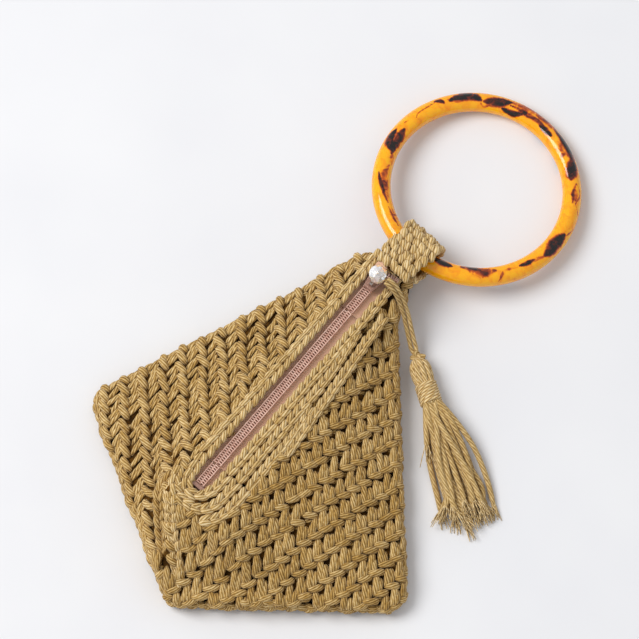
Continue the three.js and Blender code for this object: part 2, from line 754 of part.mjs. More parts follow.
function tasselHead() {
  add('tassel_knot', new THREE.SphereGeometry(KNOT_RADIUS, 12, 8), crochet(), tassel);
  const shoulder = headStart + HEAD_LENGTH;
  const head = [
    [headStart, 0],
    [headStart, HEAD_RADIUS * 0.45],
    [headStart + HEAD_LENGTH * 0.2, HEAD_RADIUS * 0.8],
    [headStart + HEAD_LENGTH * 0.55, HEAD_RADIUS],
    [shoulder - CLEARANCE, HEAD_RADIUS],
    [shoulder, NECK_CORE_RADIUS],
    [coreEnd, NECK_CORE_RADIUS],
    [coreEnd, 0],
  ];
  add('tassel_head', turned(head), crochet(), tassel);
}

// Binding round the neck: one unbroken strand, wound as a helix, with straight ends
function tasselWrap() {
  const radius = NECK_CORE_RADIUS + CLEARANCE + WRAP_YARN / 2;
  const from = headStart + HEAD_LENGTH + WRAP_YARN;
  const perTurn = 24;
  const sides = 6;
  const spots = [];
  for (let i = 0; i <= perTurn * WRAP_TURNS; i += 1) {
    const angle = (2 * Math.PI * i) / perTurn;
    const x = from + (WRAP_PITCH * i) / perTurn;
    spots.push(new THREE.Vector3(x, radius * Math.cos(angle), radius * Math.sin(angle)));
  }
  const last = spots.length - 1;
  const lead = spots[0].clone().sub(spots[1]).setLength(WRAP_YARN).add(spots[0]);
  const trail = spots[last].clone().sub(spots[last - 1]).setLength(WRAP_YARN).add(spots[last]);
  const path = [lead, ...spots, trail];
  const rings = path.map((spot, i) => {
    const before = path[Math.max(i - 1, 0)];
    const after = path[Math.min(i + 1, path.length - 1)];
    const run = after.clone().sub(before).normalize();
    const out = new THREE.Vector3(0, spot.y, spot.z).normalize();
    const side = run.clone().cross(out).normalize();
    out.crossVectors(side, run);
    return Array.from({ length: sides }, (unused, k) => {
      const angle = (2 * Math.PI * k) / sides;
      return spot.clone()
        .addScaledVector(out, (WRAP_YARN / 2) * Math.cos(angle))
        .addScaledVector(side, (WRAP_YARN / 2) * Math.sin(angle));
    });
  });
  let least = Infinity;
  for (let i = 0; i < path.length; i += 1) {
    for (let j = i + perTurn / 2; j < path.length; j += 1) {
      least = Math.min(least, path[i].distanceTo(path[j]) - WRAP_YARN);
    }
  }
  console.log(`tassel_wrap least gap to itself ${least.toFixed(2)} mm`);
  add('tassel_wrap', loft(rings), crochet(), tassel);
}

// Skirt: a bundle of strands that spreads and settles flat on the table
function tasselSkirt() {
  const from = coreEnd + CLEARANCE;
  const stations = 9;
  const around = SKIRT_STRANDS * 4;
  const strandDepth = 0.7;
  const startRadius = NECK_CORE_RADIUS + WRAP_YARN;
  const rings = [];
  for (let i = 0; i <= stations; i += 1) {
    const share = i / stations;
    const width = THREE.MathUtils.lerp(startRadius, SKIRT_HALF_WIDTH, share ** 0.8);
    const height = THREE.MathUtils.lerp(startRadius, SKIRT_HALF_HEIGHT, share);
    const drop = (TASSEL_AXIS_HEIGHT - CLEARANCE - SKIRT_HALF_HEIGHT) * share;
    rings.push(Array.from({ length: around }, (unused, k) => {
      const angle = (2 * Math.PI * k) / around;
      const groove = strandDepth * share * (k % 4 === 0 ? 1 : 0);
      const y = (width - groove) * Math.cos(angle);
      const z = (height - groove) * Math.sin(angle) - drop;
      return new THREE.Vector3(from + SKIRT_LENGTH * share, y, z);
    }));
  }
  add('tassel_skirt', loft(rings), crochet(), tassel);
}

// Ring handle and tab. In the tab's frame y runs from the pouch to the ring
const tubeRadius = RING_TUBE / 2;
const ringRadius = RING_OUTER_DIAMETER / 2 - tubeRadius;
const ringTilt = Math.asin((RING_LOOP_HEIGHT - tubeRadius) / (2 * ringRadius));
const tab = new THREE.Group();
const mouthTop = onZip(upperEnd, 0);
tab.position.set(mouthTop.x + TAB_SIDE, mouthTop.y + TAB_NECK, RING_LOOP_HEIGHT);
tab.rotation.z = -rad(TAB_HEADING);
pouch.add(tab);

function ringHandle() {
  const frame = new THREE.Group();
  frame.rotation.x = -ringTilt;
  const ring = new THREE.TorusGeometry(ringRadius, tubeRadius, 12, 72).translate(0, ringRadius, 0);
  add('ring_handle', ring, tortoiseshell(), frame);
  tab.add(frame);
}

// The strap is sewn flat on the upper end of the mouth; the loop starts at its end
const strapEnd = NECK_ALONG - TAB_NECK;
const strapTop = onZip(upperEnd, 0, CLEARANCE + TAB_FABRIC).z - RING_LOOP_HEIGHT;

function tabLoop() {
  const bore = tubeRadius + TAB_PLAY;
  const outer = bore + TAB_FABRIC;
  const neckStart = strapEnd + CLEARANCE + (CLEARANCE + TAB_FABRIC) * Math.sin(rad(ZIP_DROP));
  const neck = [
    [neckStart, strapTop - TAB_FABRIC],
    [neckStart, strapTop],
    [0, outer],
    [0, outer - TAB_FABRIC],
    [-outer * 0.7, outer * 0.5],
  ];
  const barrel = new THREE.CylinderGeometry(outer, outer, TAB_WIDTH, 28).rotateZ(Math.PI / 2);
  const hole = new THREE.CylinderGeometry(bore, bore, TAB_WIDTH * 2, 28).rotateZ(Math.PI / 2);
  const web = plate(neck, -TAB_WIDTH / 2, TAB_WIDTH / 2).rotateX(Math.PI / 2).rotateZ(Math.PI / 2);
  add('tab_loop', surface(solid(barrel).add(solid(web)).subtract(solid(hole))), crochet(), tab);
}

function tabBase() {
  const strap = new THREE.Group();
  const corner = tab.localToWorld(new THREE.Vector3(0, strapEnd, 0));
  const place = zip.worldToLocal(new THREE.Vector3(corner.x, corner.y, onZip(upperEnd, 0).z));
  strap.position.set(place.x, place.y, 0);
  strap.rotation.z = -rad(TAB_HEADING - ZIP_HEADING);
  const half = TAB_WIDTH / 2;
  const outline = [[-STRAP_LENGTH, -half], [0, -half], [0, half], [-STRAP_LENGTH, half]];
  add('tab_strap', plate(outline, CLEARANCE, CLEARANCE + TAB_FABRIC), crochet(), strap);
  zip.add(strap);
  const neckY = corners.neckLeft.y;
  const ceiling = onZip(upperEnd, rightEdge(upperEnd), -BAND_THICKNESS).z - 2 * CLEARANCE;
  const from = corners.neckLeft.x + ANCHOR_INSET;
  const to = corners.neckRight.x - ANCHOR_INSET;
  const anchor = [
    [from, neckY - ANCHOR_LENGTH],
    [to, neckY - ANCHOR_LENGTH],
    [to, neckY - CLEARANCE],
    [from, neckY - CLEARANCE],
  ];
  add('tab_anchor', plate(anchor, FABRIC + CLEARANCE, ceiling), crochet());
}

backPanel();
leftFrontPanel();
rightFrontPanel();
mouthEdging();
zipChain();
sliderBody();
sliderBail();
pullBead();
cordStrand('tassel_cord_left', 1);
cordStrand('tassel_cord_right', -1);
tab.updateMatrixWorld();
tasselHead();
tasselWrap();
tasselSkirt();
ringHandle();
tabLoop();
tabBase();

export default pouch;
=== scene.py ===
# A crocheted zip pouch with a resin ring handle and a tassel pull, lying on its back on a pale table.
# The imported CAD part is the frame. Lengths below are in millimetres, and pieces become metres when made.
import json
import math

import bmesh
import bpy
import numpy as np
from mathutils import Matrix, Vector
from mathutils.bvhtree import BVHTree


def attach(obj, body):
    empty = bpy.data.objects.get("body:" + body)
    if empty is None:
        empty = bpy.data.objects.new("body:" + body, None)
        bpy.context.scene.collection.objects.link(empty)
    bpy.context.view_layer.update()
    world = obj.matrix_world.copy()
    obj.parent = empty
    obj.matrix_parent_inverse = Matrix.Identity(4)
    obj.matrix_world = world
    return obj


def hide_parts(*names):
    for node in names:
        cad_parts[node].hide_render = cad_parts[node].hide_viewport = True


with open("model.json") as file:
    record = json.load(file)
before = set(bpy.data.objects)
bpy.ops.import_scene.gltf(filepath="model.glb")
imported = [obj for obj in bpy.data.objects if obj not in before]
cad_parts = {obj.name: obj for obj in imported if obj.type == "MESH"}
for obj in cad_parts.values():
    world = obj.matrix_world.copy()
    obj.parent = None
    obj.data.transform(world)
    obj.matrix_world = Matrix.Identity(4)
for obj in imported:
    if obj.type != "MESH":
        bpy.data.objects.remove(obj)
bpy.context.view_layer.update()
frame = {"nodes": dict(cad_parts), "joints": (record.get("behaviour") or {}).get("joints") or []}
MM = 0.001
rng = np.random.default_rng(11)

# Camera: where it looks on the table, from which side, from how far and how wide
VIEW_CENTRE = (-13.9, 86.2, 0.0)
VIEW_AZIMUTH = 32.0
VIEW_ELEVATION = 72.0
VIEW_DISTANCE = 2500.0
VIEW_ANGLE = 6.22

# Stage: half the width of the table, the light from all round and one softbox
TABLE_REACH = 3000.0
WORLD_STRENGTH = 0.62
SOFTBOX_PLACE = (-1340, -430, 1950)
SOFTBOX_SIZE = 1500
SOFTBOX_POWER = 42.0

# Cord of the tassel: its two strands run side by side along this route
CORD_STRAND = 1.9
CORD_SPACING = 1.95
CORD_STEPS = 60
CORD_ROUTE = [
    (6.0, 107.4, 30.4),
    (8.2, 107.2, 29.7),
    (10.2, 106.9, 28.4),
    (11.9, 106.5, 26.5),
    (13.3, 106.0, 24.4),
    (14.7, 105.4, 22.2),
    (16.0, 104.7, 20.1),
    (17.3, 103.9, 18.0),
    (18.6, 103.0, 16.0),
    (19.9, 101.9, 14.1),
    (21.3, 100.6, 12.4),
    (22.8, 99.2, 10.8),
    (24.4, 97.7, 9.4),
    (26.1, 96.1, 8.2),
    (28.1, 94.3, 7.1),
]

# Crochet: the rim that it bends round, its ribs in plan, its stitches and the plies of its yarn
RIM_RADIUS = 5.5
RIM_POINTS = 260
RIB_SPACING = 8.45
LEFT_HEADING = 124.6
RIGHT_HEADING = 247.0
BACK_HEADING = 304.0
STITCH_PITCH = 5.6
RIB_STAGGER = 2.5
PLY_WIDTH = 1.15
PLY_LEAN = 21.0

# How far single stitches stray: their turn in radians, size, place in plan and height
STRAY_TURN = 0.1
STRAY_SIZE = 0.05
STRAY_SHIFT = 0.25
STRAY_LIFT = 0.12

# Points along a strand of a front panel's stitch, and of any other stitch
PANEL_STEPS = 10
STITCH_STEPS = 9

# How far the crochet bends round the rim, in radii of the rim, and how far its back stays off the table
FRONT_PAST_RIM = 1.6
BACK_PAST_RIM = 1.4
GROUND_PAST_RIM = 0.95
TABLE_CLEARANCE = 0.1

# Front panels: how far stitches run on past their edges, the strip left free at the zip, their tones, and the
# painted shade that darkens the right panel
LEFT_RUN_ON = 6.5
RIGHT_RUN_ON = 3.5
FREE_OF_ZIP = (-11.5, 8.0)
FRONT_TONES = (-1.4, 0.8)
RIGHT_PANEL_PAINTED_SHADE = 0.5

# Hidden side of the crochet, a sheet in painted shade: its depth below the outside, thickness, cells, and run
# past a panel's edges
GROUND_DEPTH = 2.0
GROUND_THICKNESS = 0.6
GROUND_CELL = 2.5
GROUND_RUN_ON = 1.5

# Fold of the right panel over the left one: its start above the mouth's corner, radius, rows and clearance
FOLD_START = 12
FOLD_RADIUS = 4.2
FOLD_LEANS = (22, 68)
FOLD_FOOT = 2.2
FREE_OF_FOLD = 3.2
FOLD_LOW_END = 9

# Rows of chain stitches round the rim: their heights, the wall they need above them, and how far out they lie
RIM_LEVELS = (4.8, 9.6, 14.4)
RIM_HEADROOM = 3.6
RIM_OUT = 4.9
RIM_OUT_BY_TAB = 2.9
NARROW_END = 112.0

# Edging of the zip mouth: its stitch and rows, where and how far stitches sink under it, the lip's row
CHAIN_PITCH = 4.2
EDGING_ROWS = (0.1, 5.2, 10.3)
EDGING_SINK = 2.4
EDGING_LOWEST = -9.5
EDGING_CORNER = -17
LIP_ROW_SPAN = (36, 112)
LIP_ROW_OFFSET = 3.0
LIP_ROW_COVER = 5.5

# Zip: the coils, their seams, the end of the right coil, the tapes and the end of the left tape
COIL_PITCH = 1.15
COIL_THREAD = 0.54
COIL_MIDDLE = 0.92
COIL_REACH = 1.22
COIL_STEPS = 12
SEAM_OFFSET = 1.75
SEAM_THREAD = 0.52
LIP_END_COVER = 0.65
STUB_START = 125.2
STUB_LENGTH = 6.5
STUB_TURN = 72.0
STUB_RISE = 4.2
TAPE_RIPPLE = 0.08
TAPE_RIPPLE_RUN = 7
TAPE_FLAT = 3
CURL_ROUTE = [(125.7, 1.9, -2.6), (126.6, 2.7, 0.4), (127.8, 2.4, 2.6), (127.9, 0.4, 3.2), (126.8, -1.2, 2.0)]
CURL_WIDTH = 3.0
CURL_THICKNESS = 0.5

# Tab round the ring, its end on the pouch, and the rows on the pouch's end under it
TAB_BORE = 5.4
TAB_FABRIC = 4.2
TAB_OUTER = TAB_BORE + TAB_FABRIC
TAB_WIDTH = 18.0
TAB_COLUMNS = 5
TAB_PITCH = 3.6
TAB_END_INSET = 1.2
TAB_END_THICKNESS = 2.5
TAB_END_SHARE = 0.84
NECK_LEVELS = (8.6, 12.4, 16.2)
NECK_INSET = 1.2

# Ring: points of its mesh, and how far round the streaks of its underside are turned
RING_STEPS = 720
TUBE_STEPS = 64
UNDERSIDE_TURN = 137

# Bead: facets round it, its rows of corners as (place along its axis, reach) in radii, and its threads
FACETS = 8
BEAD_ROWS = [(-0.86, 0.42), (-0.52, 0.84), (0, 1.0), (0.52, 0.84), (0.86, 0.42)]
BEAD_THREAD = 0.9
LOOP_THREAD = 0.84
LOOP_RADIUS = 1.6

# Tassel: its strands, its head's profile as (along, radius), its binding and the layers of its skirt
TASSEL_STRAND = 2.4
TASSEL_HEIGHT = 6.6
KNOT_THREAD = 1.9
HEAD_STRANDS = 10
HEAD_PROFILE = [(2.0, 0.7), (3.0, 2.3), (5.2, 3.4), (9.5, 3.5), (13.5, 2.9), (22.5, 2.7)]
WRAP_TURNS = 6
WRAP_PITCH = 1.45
WRAP_START = 13.3
WRAP_RADIUS = 4.1
WRAP_THREAD = 1.56
WRAP_TUCK = 0.15
WRAP_TUCK_DEPTH = 0.6
SKIRT_START = 21.5
SKIRT_LAYERS = [(8, 10.6, 1.3, 79.0), (7, 9.6, 3.3, 77.5), (5, 7.8, 5.2, 75.5)]
SKIRT_STEPS = 40
FRAYED_THREADS = 9
FRAYED_LENGTH = (4.0, 8.5)
FRAYED_SPREAD = (0.6, 2.6)

# Vectors
UP = np.array([0.0, 0.0, 1.0])


def unit(vectors):
    """Vectors of length one, or zero where they have no direction."""
    return vectors / np.maximum(np.linalg.norm(vectors, axis=-1, keepdims=True), 1e-12)


def rounded(points, count):
    """A smooth line of count points through a few control points."""
    p = np.asarray(points, float)
    p = np.vstack([2 * p[0] - p[1], p, 2 * p[-1] - p[-2]])
    t = np.linspace(0, len(p) - 3 - 1e-9, count)
    i = t.astype(int)
    f = (t - i)[:, None]
    a, b, c, d = p[i], p[i + 1], p[i + 2], p[i + 3]
    return 0.5 * (2 * b + (c - a) * f + (2 * a - 5 * b + 4 * c - d) * f**2 + (3 * b - a - 3 * c + d) * f**3)


def lengths_along(line):
    steps = np.linalg.norm(np.diff(line, axis=0), axis=1)
    return np.concatenate([[0], np.cumsum(steps)])


# The frame, in millimetres
def node_points(name):
    return np.array([vertex.co for vertex in frame["nodes"][name].data.vertices]) / MM


def joint_axis(name):
    return unit(np.array(next(joint["axis"] for joint in frame["joints"] if joint["name"] == name)))


def joint_place(name):
    return np.array(next(joint["pos_m"] for joint in frame["joints"] if joint["name"] == name)) / MM


def middle_of(name):
    points = node_points(name)
    return (points.min(axis=0) + points.max(axis=0)) / 2


def zip_frame():
    """Origin at the lower end of the tape, between the coils, on top of the lips; along, left and out."""
    along = -joint_axis("slider_travel")
    lip = frame["nodes"]["lip_left"].data.polygons
    faces = sorted((face for face in lip if face.normal.z > 0.5), key=lambda face: face.area)
    out = np.array(faces[-1].normal)
    out = unit(out - along * (out @ along))
    left = np.cross(out, along)
    coils = np.vstack([node_points("zip_coil_left_lip"), node_points("zip_coil_right_lip")])
    middle = (coils @ left).min() / 2 + (coils @ left).max() / 2
    start = (node_points("zip_tape_left_lower") @ along).min()
    top = (node_points("lip_left") @ out).max()
    return along * start + left * middle + out * top, np.array([along, left, out])


ZIP_ORIGIN, ZIP_AXES = zip_frame()


def on_zip(points):
    return ZIP_ORIGIN + np.asarray(points, float) @ ZIP_AXES


def to_zip(points):
    return (np.asarray(points, float) - ZIP_ORIGIN) @ ZIP_AXES.T


# Materials
def srgb(code):
    channels = [int(code[i:i + 2], 16) / 255 for i in (1, 3, 5)]
    linear = [c / 12.92 if c <= 0.04045 else ((c + 0.055) / 1.055) ** 2.4 for c in channels]
    return (*linear, 1.0)


def add_node(tree, kind, inputs=None, stops=(), **settings):
    """Adds a node with its properties and colour stops, and fills its inputs from values or sockets."""
    node = tree.nodes.new(kind)
    for name, value in settings.items():
        setattr(node, name, value)
    for index, (place, colour) in enumerate(stops):
        elements = node.color_ramp.elements
        element = elements[index] if index < len(elements) else elements.new(place)
        element.position = place
        element.color = srgb(colour)
    for key, value in (inputs or {}).items():
        if isinstance(value, bpy.types.NodeSocket):
            tree.links.new(value, node.inputs[key])
        else:
            node.inputs[key].default_value = value
    return node


def new_material(name):
    material = bpy.data.materials.new(name)
    material.use_nodes = True
    material.node_tree.nodes.clear()
    return material, material.node_tree


def cotton_yarn(name, shade, middle, light):
    """Plied cotton: matt, a little fuzzy, with uneven dark lines of painted shade in the grooves between its
    plies, and fibres along them.
    """
    material, tree = new_material(name)
    uv = add_node(tree, "ShaderNodeUVMap", uv_map="yarn")
    stretch = add_node(tree, "ShaderNodeVectorMath", {
        0: uv.outputs[0], 1: (0.45, 1.1, 1.0)}, operation="MULTIPLY")
    fibre = add_node(tree, "ShaderNodeTexNoise", {
        "Vector": stretch.outputs[0], "Scale": 1.0, "Detail": 4.0, "Roughness": 0.6})
    place = add_node(tree, "ShaderNodeSeparateXYZ", {0: uv.outputs[0]})
    turn = add_node(tree, "ShaderNodeMath", {
        0: fibre.outputs[0], 1: 0.6, 2: place.outputs["Y"]}, operation="MULTIPLY_ADD")
    angle = add_node(tree, "ShaderNodeMath", {0: turn.outputs[0], 1: 2 * math.pi}, operation="MULTIPLY")
    wave = add_node(tree, "ShaderNodeMath", {0: angle.outputs[0]}, operation="COSINE")
    # ply: the grooves between the plies, painted darker as shade in the colour and sunk in the bump
    ply = add_node(tree, "ShaderNodeMapRange", {0: wave.outputs[0], 1: -1.0, 2: 0.6, 3: 0.0, 4: 0.5})
    fluff = add_node(tree, "ShaderNodeMapRange", {0: fibre.outputs[0], 1: 0.3, 2: 0.7, 3: 0.0, 4: 0.5})
    grain = add_node(tree, "ShaderNodeMath", {0: ply.outputs[0], 1: fluff.outputs[0]}, operation="ADD")
    tone = add_node(tree, "ShaderNodeAttribute", attribute_name="tone")
    level = add_node(tree, "ShaderNodeMath", {
        0: tone.outputs["Fac"], 1: 0.1, 2: grain.outputs[0]}, operation="MULTIPLY_ADD")
    colour = add_node(tree, "ShaderNodeValToRGB", {"Fac": level.outputs[0]}, stops=[
        (0.12, shade), (0.52, middle), (0.95, light)])
    bump = add_node(tree, "ShaderNodeBump", {
        "Strength": 0.8, "Distance": 0.4 * MM, "Height": grain.outputs[0]})
    shader = add_node(tree, "ShaderNodeBsdfPrincipled", {
        "Base Color": colour.outputs[0], "Roughness": 0.92, "Specular IOR Level": 0.2,
        "Sheen Weight": 0.12, "Sheen Roughness": 0.5, "Normal": bump.outputs[0]})
    add_node(tree, "ShaderNodeOutputMaterial", {"Surface": shader.outputs[0]})
    return material


def crochet_ground(name, shade, light):
    """The hidden side of the stitches, seen between them: the same yarn darkened with painted shade, with
    loops 3 mm across whose edges are painted darker still.
    """
    material, tree = new_material(name)
    place = add_node(tree, "ShaderNodeTexCoord")
    loops = add_node(tree, "ShaderNodeTexVoronoi", {
        "Vector": place.outputs["Object"], "Scale": 1 / (3.0 * MM)})
    colour = add_node(tree, "ShaderNodeValToRGB", {"Fac": loops.outputs["Distance"]}, stops=[
        (0.1, light), (0.7, shade)])
    bump = add_node(tree, "ShaderNodeBump", {
        "Strength": 0.9, "Distance": 1.0 * MM, "Height": loops.outputs["Distance"]}, invert=True)
    shader = add_node(tree, "ShaderNodeBsdfPrincipled", {
        "Base Color": colour.outputs[0], "Roughness": 0.95, "Specular IOR Level": 0.1,
        "Normal": bump.outputs[0]})
    add_node(tree, "ShaderNodeOutputMaterial", {"Surface": shader.outputs[0]})
    return material


def woven_tape(name, shade, light):
    """Woven polyester tape: a fine rib across it, drawn 0.5 mm wide so that it shows, with painted shade in
    its furrows.
    """
    material, tree = new_material(name)
    rib_width = 0.5
    wave_at_scale_one = 0.314
    uv = add_node(tree, "ShaderNodeUVMap", uv_map="yarn")
    weave = add_node(tree, "ShaderNodeTexWave", {
        "Vector": uv.outputs[0], "Scale": wave_at_scale_one / rib_width, "Distortion": 0.6})
    colour = add_node(tree, "ShaderNodeValToRGB", {"Fac": weave.outputs["Fac"]}, stops=[
        (0.0, shade), (1.0, light)])
    bump = add_node(tree, "ShaderNodeBump", {
        "Strength": 0.4, "Distance": 0.1 * MM, "Height": weave.outputs["Fac"]})
    shader = add_node(tree, "ShaderNodeBsdfPrincipled", {
        "Base Color": colour.outputs[0], "Roughness": 0.8, "Sheen Weight": 0.15, "Normal": bump.outputs[0]})
    add_node(tree, "ShaderNodeOutputMaterial", {"Surface": shader.outputs[0]})
    return material


def nylon_coil(name, shade, light):
    """Drawn nylon thread wound into a coil: satin and cloudy, with pale painted highlights and darker painted
    shade mixed in 2 mm clouds.
    """
    material, tree = new_material(name)
    place = add_node(tree, "ShaderNodeTexCoord")
    cloud = add_node(tree, "ShaderNodeTexNoise", {"Vector": place.outputs["Object"], "Scale": 1 / (2.0 * MM)})
    # clouds between a shaded and a highlighted colour of the nylon: painted shade and highlight over its real
    # cloudiness
    colour = add_node(tree, "ShaderNodeValToRGB", {"Fac": cloud.outputs[0]}, stops=[
        (0.3, shade), (0.7, light)])
    shader = add_node(tree, "ShaderNodeBsdfPrincipled", {
        "Base Color": colour.outputs[0], "Roughness": 0.32, "IOR": 1.53})
    add_node(tree, "ShaderNodeOutputMaterial", {"Surface": shader.outputs[0]})
    return material


def plated_zinc(name):
    """Die-cast zinc with a bright plating, rubbed dull in faint scratches."""
    material, tree = new_material(name)
    place = add_node(tree, "ShaderNodeTexCoord")
    stretch = add_node(tree, "ShaderNodeVectorMath", {
        0: place.outputs["Object"],
        1: (1 / (0.2 * MM), 1 / (3.0 * MM), 1 / (0.4 * MM))}, operation="MULTIPLY")
    scratch = add_node(tree, "ShaderNodeTexNoise", {
        "Vector": stretch.outputs[0], "Scale": 1.0, "Detail": 2.0})
    rough = add_node(tree, "ShaderNodeMapRange", {0: scratch.outputs[0], 1: 0.3, 2: 0.7, 3: 0.18, 4: 0.4})
    colour = add_node(tree, "ShaderNodeValToRGB", {"Fac": scratch.outputs[0]}, stops=[
        (0.3, "#A99A90"), (0.7, "#D2C6BD")])
    shader = add_node(tree, "ShaderNodeBsdfPrincipled", {
        "Base Color": colour.outputs[0], "Metallic": 1.0, "Roughness": rough.outputs[0]})
    add_node(tree, "ShaderNodeOutputMaterial", {"Surface": shader.outputs[0]})
    return material


def lacquered_zinc(name):
    """Die-cast zinc under rose lacquer: smooth, half glossy, worn thin in faint clouds."""
    material, tree = new_material(name)
    place = add_node(tree, "ShaderNodeTexCoord")
    cloud = add_node(tree, "ShaderNodeTexNoise", {"Vector": place.outputs["Object"], "Scale": 1 / (1.5 * MM)})
    colour = add_node(tree, "ShaderNodeValToRGB", {"Fac": cloud.outputs[0]}, stops=[
        (0.3, "#9C7464"), (0.7, "#B58C7A")])
    rough = add_node(tree, "ShaderNodeMapRange", {0: cloud.outputs[0], 3: 0.25, 4: 0.45})
    shader = add_node(tree, "ShaderNodeBsdfPrincipled", {
        "Base Color": colour.outputs[0], "Metallic": 0.2, "Roughness": rough.outputs[0], "Coat Weight": 0.4})
    add_node(tree, "ShaderNodeOutputMaterial", {"Surface": shader.outputs[0]})
    return material


def clear_acrylic(name):
    """Cast and cut acrylic: clear, with sharp bright facets and a trace of haze."""
    material, tree = new_material(name)
    place = add_node(tree, "ShaderNodeTexCoord")
    haze = add_node(tree, "ShaderNodeTexNoise", {"Vector": place.outputs["Object"], "Scale": 1 / (1.5 * MM)})
    rough = add_node(tree, "ShaderNodeMapRange", {0: haze.outputs[0], 3: 0.0, 4: 0.06})
    shader = add_node(tree, "ShaderNodeBsdfPrincipled", {
        "Base Color": srgb("#FBFBFC"), "Roughness": rough.outputs[0], "IOR": 1.49,
        "Transmission Weight": 0.65, "Coat Weight": 0.6, "Coat Roughness": 0.02})
    add_node(tree, "ShaderNodeOutputMaterial", {"Surface": shader.outputs[0]})
    return material


def tortoiseshell_resin(name):
    """Polished cast resin: clear amber with dark brown clouds that run red where they thin out."""
    material, tree = new_material(name)
    place = add_node(tree, "ShaderNodeTexCoord")
    cloud = add_node(tree, "ShaderNodeTexNoise", {
        "Vector": place.outputs["Object"], "Scale": 1 / (3.0 * MM), "Detail": 3.0, "Distortion": 0.8})
    blotch = add_node(tree, "ShaderNodeMapRange", {0: cloud.outputs[0], 1: 0.3, 2: 0.7, 3: 0.0, 4: 0.46})
    streak = add_node(tree, "ShaderNodeAttribute", attribute_name="tone")
    ragged = add_node(tree, "ShaderNodeMath", {
        0: streak.outputs["Fac"], 1: 0.74, 2: blotch.outputs[0]}, operation="MULTIPLY_ADD")
    colour = add_node(tree, "ShaderNodeValToRGB", {"Fac": ragged.outputs[0]}, stops=[
        (0.15, "#FFB305"), (0.42, "#F89C00"), (0.58, "#CC5A08"), (0.80, "#6C210C"), (1.0, "#17100E")])
    shader = add_node(tree, "ShaderNodeBsdfPrincipled", {
        "Base Color": colour.outputs[0], "Roughness": 0.07, "IOR": 1.54, "Subsurface Weight": 0.4,
        "Subsurface Radius": (1.0, 0.45, 0.08), "Subsurface Scale": 2.5 * MM, "Coat Weight": 0.25,
        "Coat Roughness": 0.03, "Specular IOR Level": 0.4})
    add_node(tree, "ShaderNodeOutputMaterial", {"Surface": shader.outputs[0]})
    return material


def matt_paint(name):
    """Rolled matt paint on a board: even and pale, with a faint broad mottle."""
    material, tree = new_material(name)
    place = add_node(tree, "ShaderNodeTexCoord")
    mottle = add_node(tree, "ShaderNodeTexNoise", {"Vector": place.outputs["Object"], "Scale": 1 / (60 * MM)})
    colour = add_node(tree, "ShaderNodeValToRGB", {"Fac": mottle.outputs[0]}, stops=[
        (0.3, "#E6E6E8"), (0.7, "#EAEAEB")])
    shader = add_node(tree, "ShaderNodeBsdfPrincipled", {"Base Color": colour.outputs[0], "Roughness": 0.7})
    add_node(tree, "ShaderNodeOutputMaterial", {"Surface": shader.outputs[0]})
    return material


YARN = cotton_yarn("crochet_cotton", "#7E5B25", "#BC9550", "#E6CC97")
# A lighter copy of the cotton: partly the painted highlight of the raised edging rows; also used for the
# tassel's head, binding and fine threads
EDGE_YARN = cotton_yarn("edging_cotton_painted_light", "#8C6830", "#CAA664", "#EFD7A8")
# A lighter copy of the cotton for the cord and tassel: partly painted light on the tassel's upward faces
TASSEL_YARN = cotton_yarn("tassel_cotton", "#93703A", "#C6A465", "#E3C894")
# Sheets under the stitches, darkened with painted shade for the holes between stitches; the tab's is a little
# lighter
GROUND = crochet_ground("crochet_back_painted_shade", "#34210A", "#6B4716")
TAB_GROUND = crochet_ground("tab_back_painted_shade", "#5F4218", "#A8803F")
TAPE = woven_tape("woven_polyester", "#D6A282", "#EFC6A8")
COIL = nylon_coil("nylon_coil", "#D0A08C", "#F0CBB9")
ZINC = plated_zinc("plated_zinc")
LACQUER = lacquered_zinc("lacquered_zinc")
ACRYLIC = clear_acrylic("cut_acrylic")
RESIN = tortoiseshell_resin("cast_resin")
PAINT = matt_paint("painted_table")


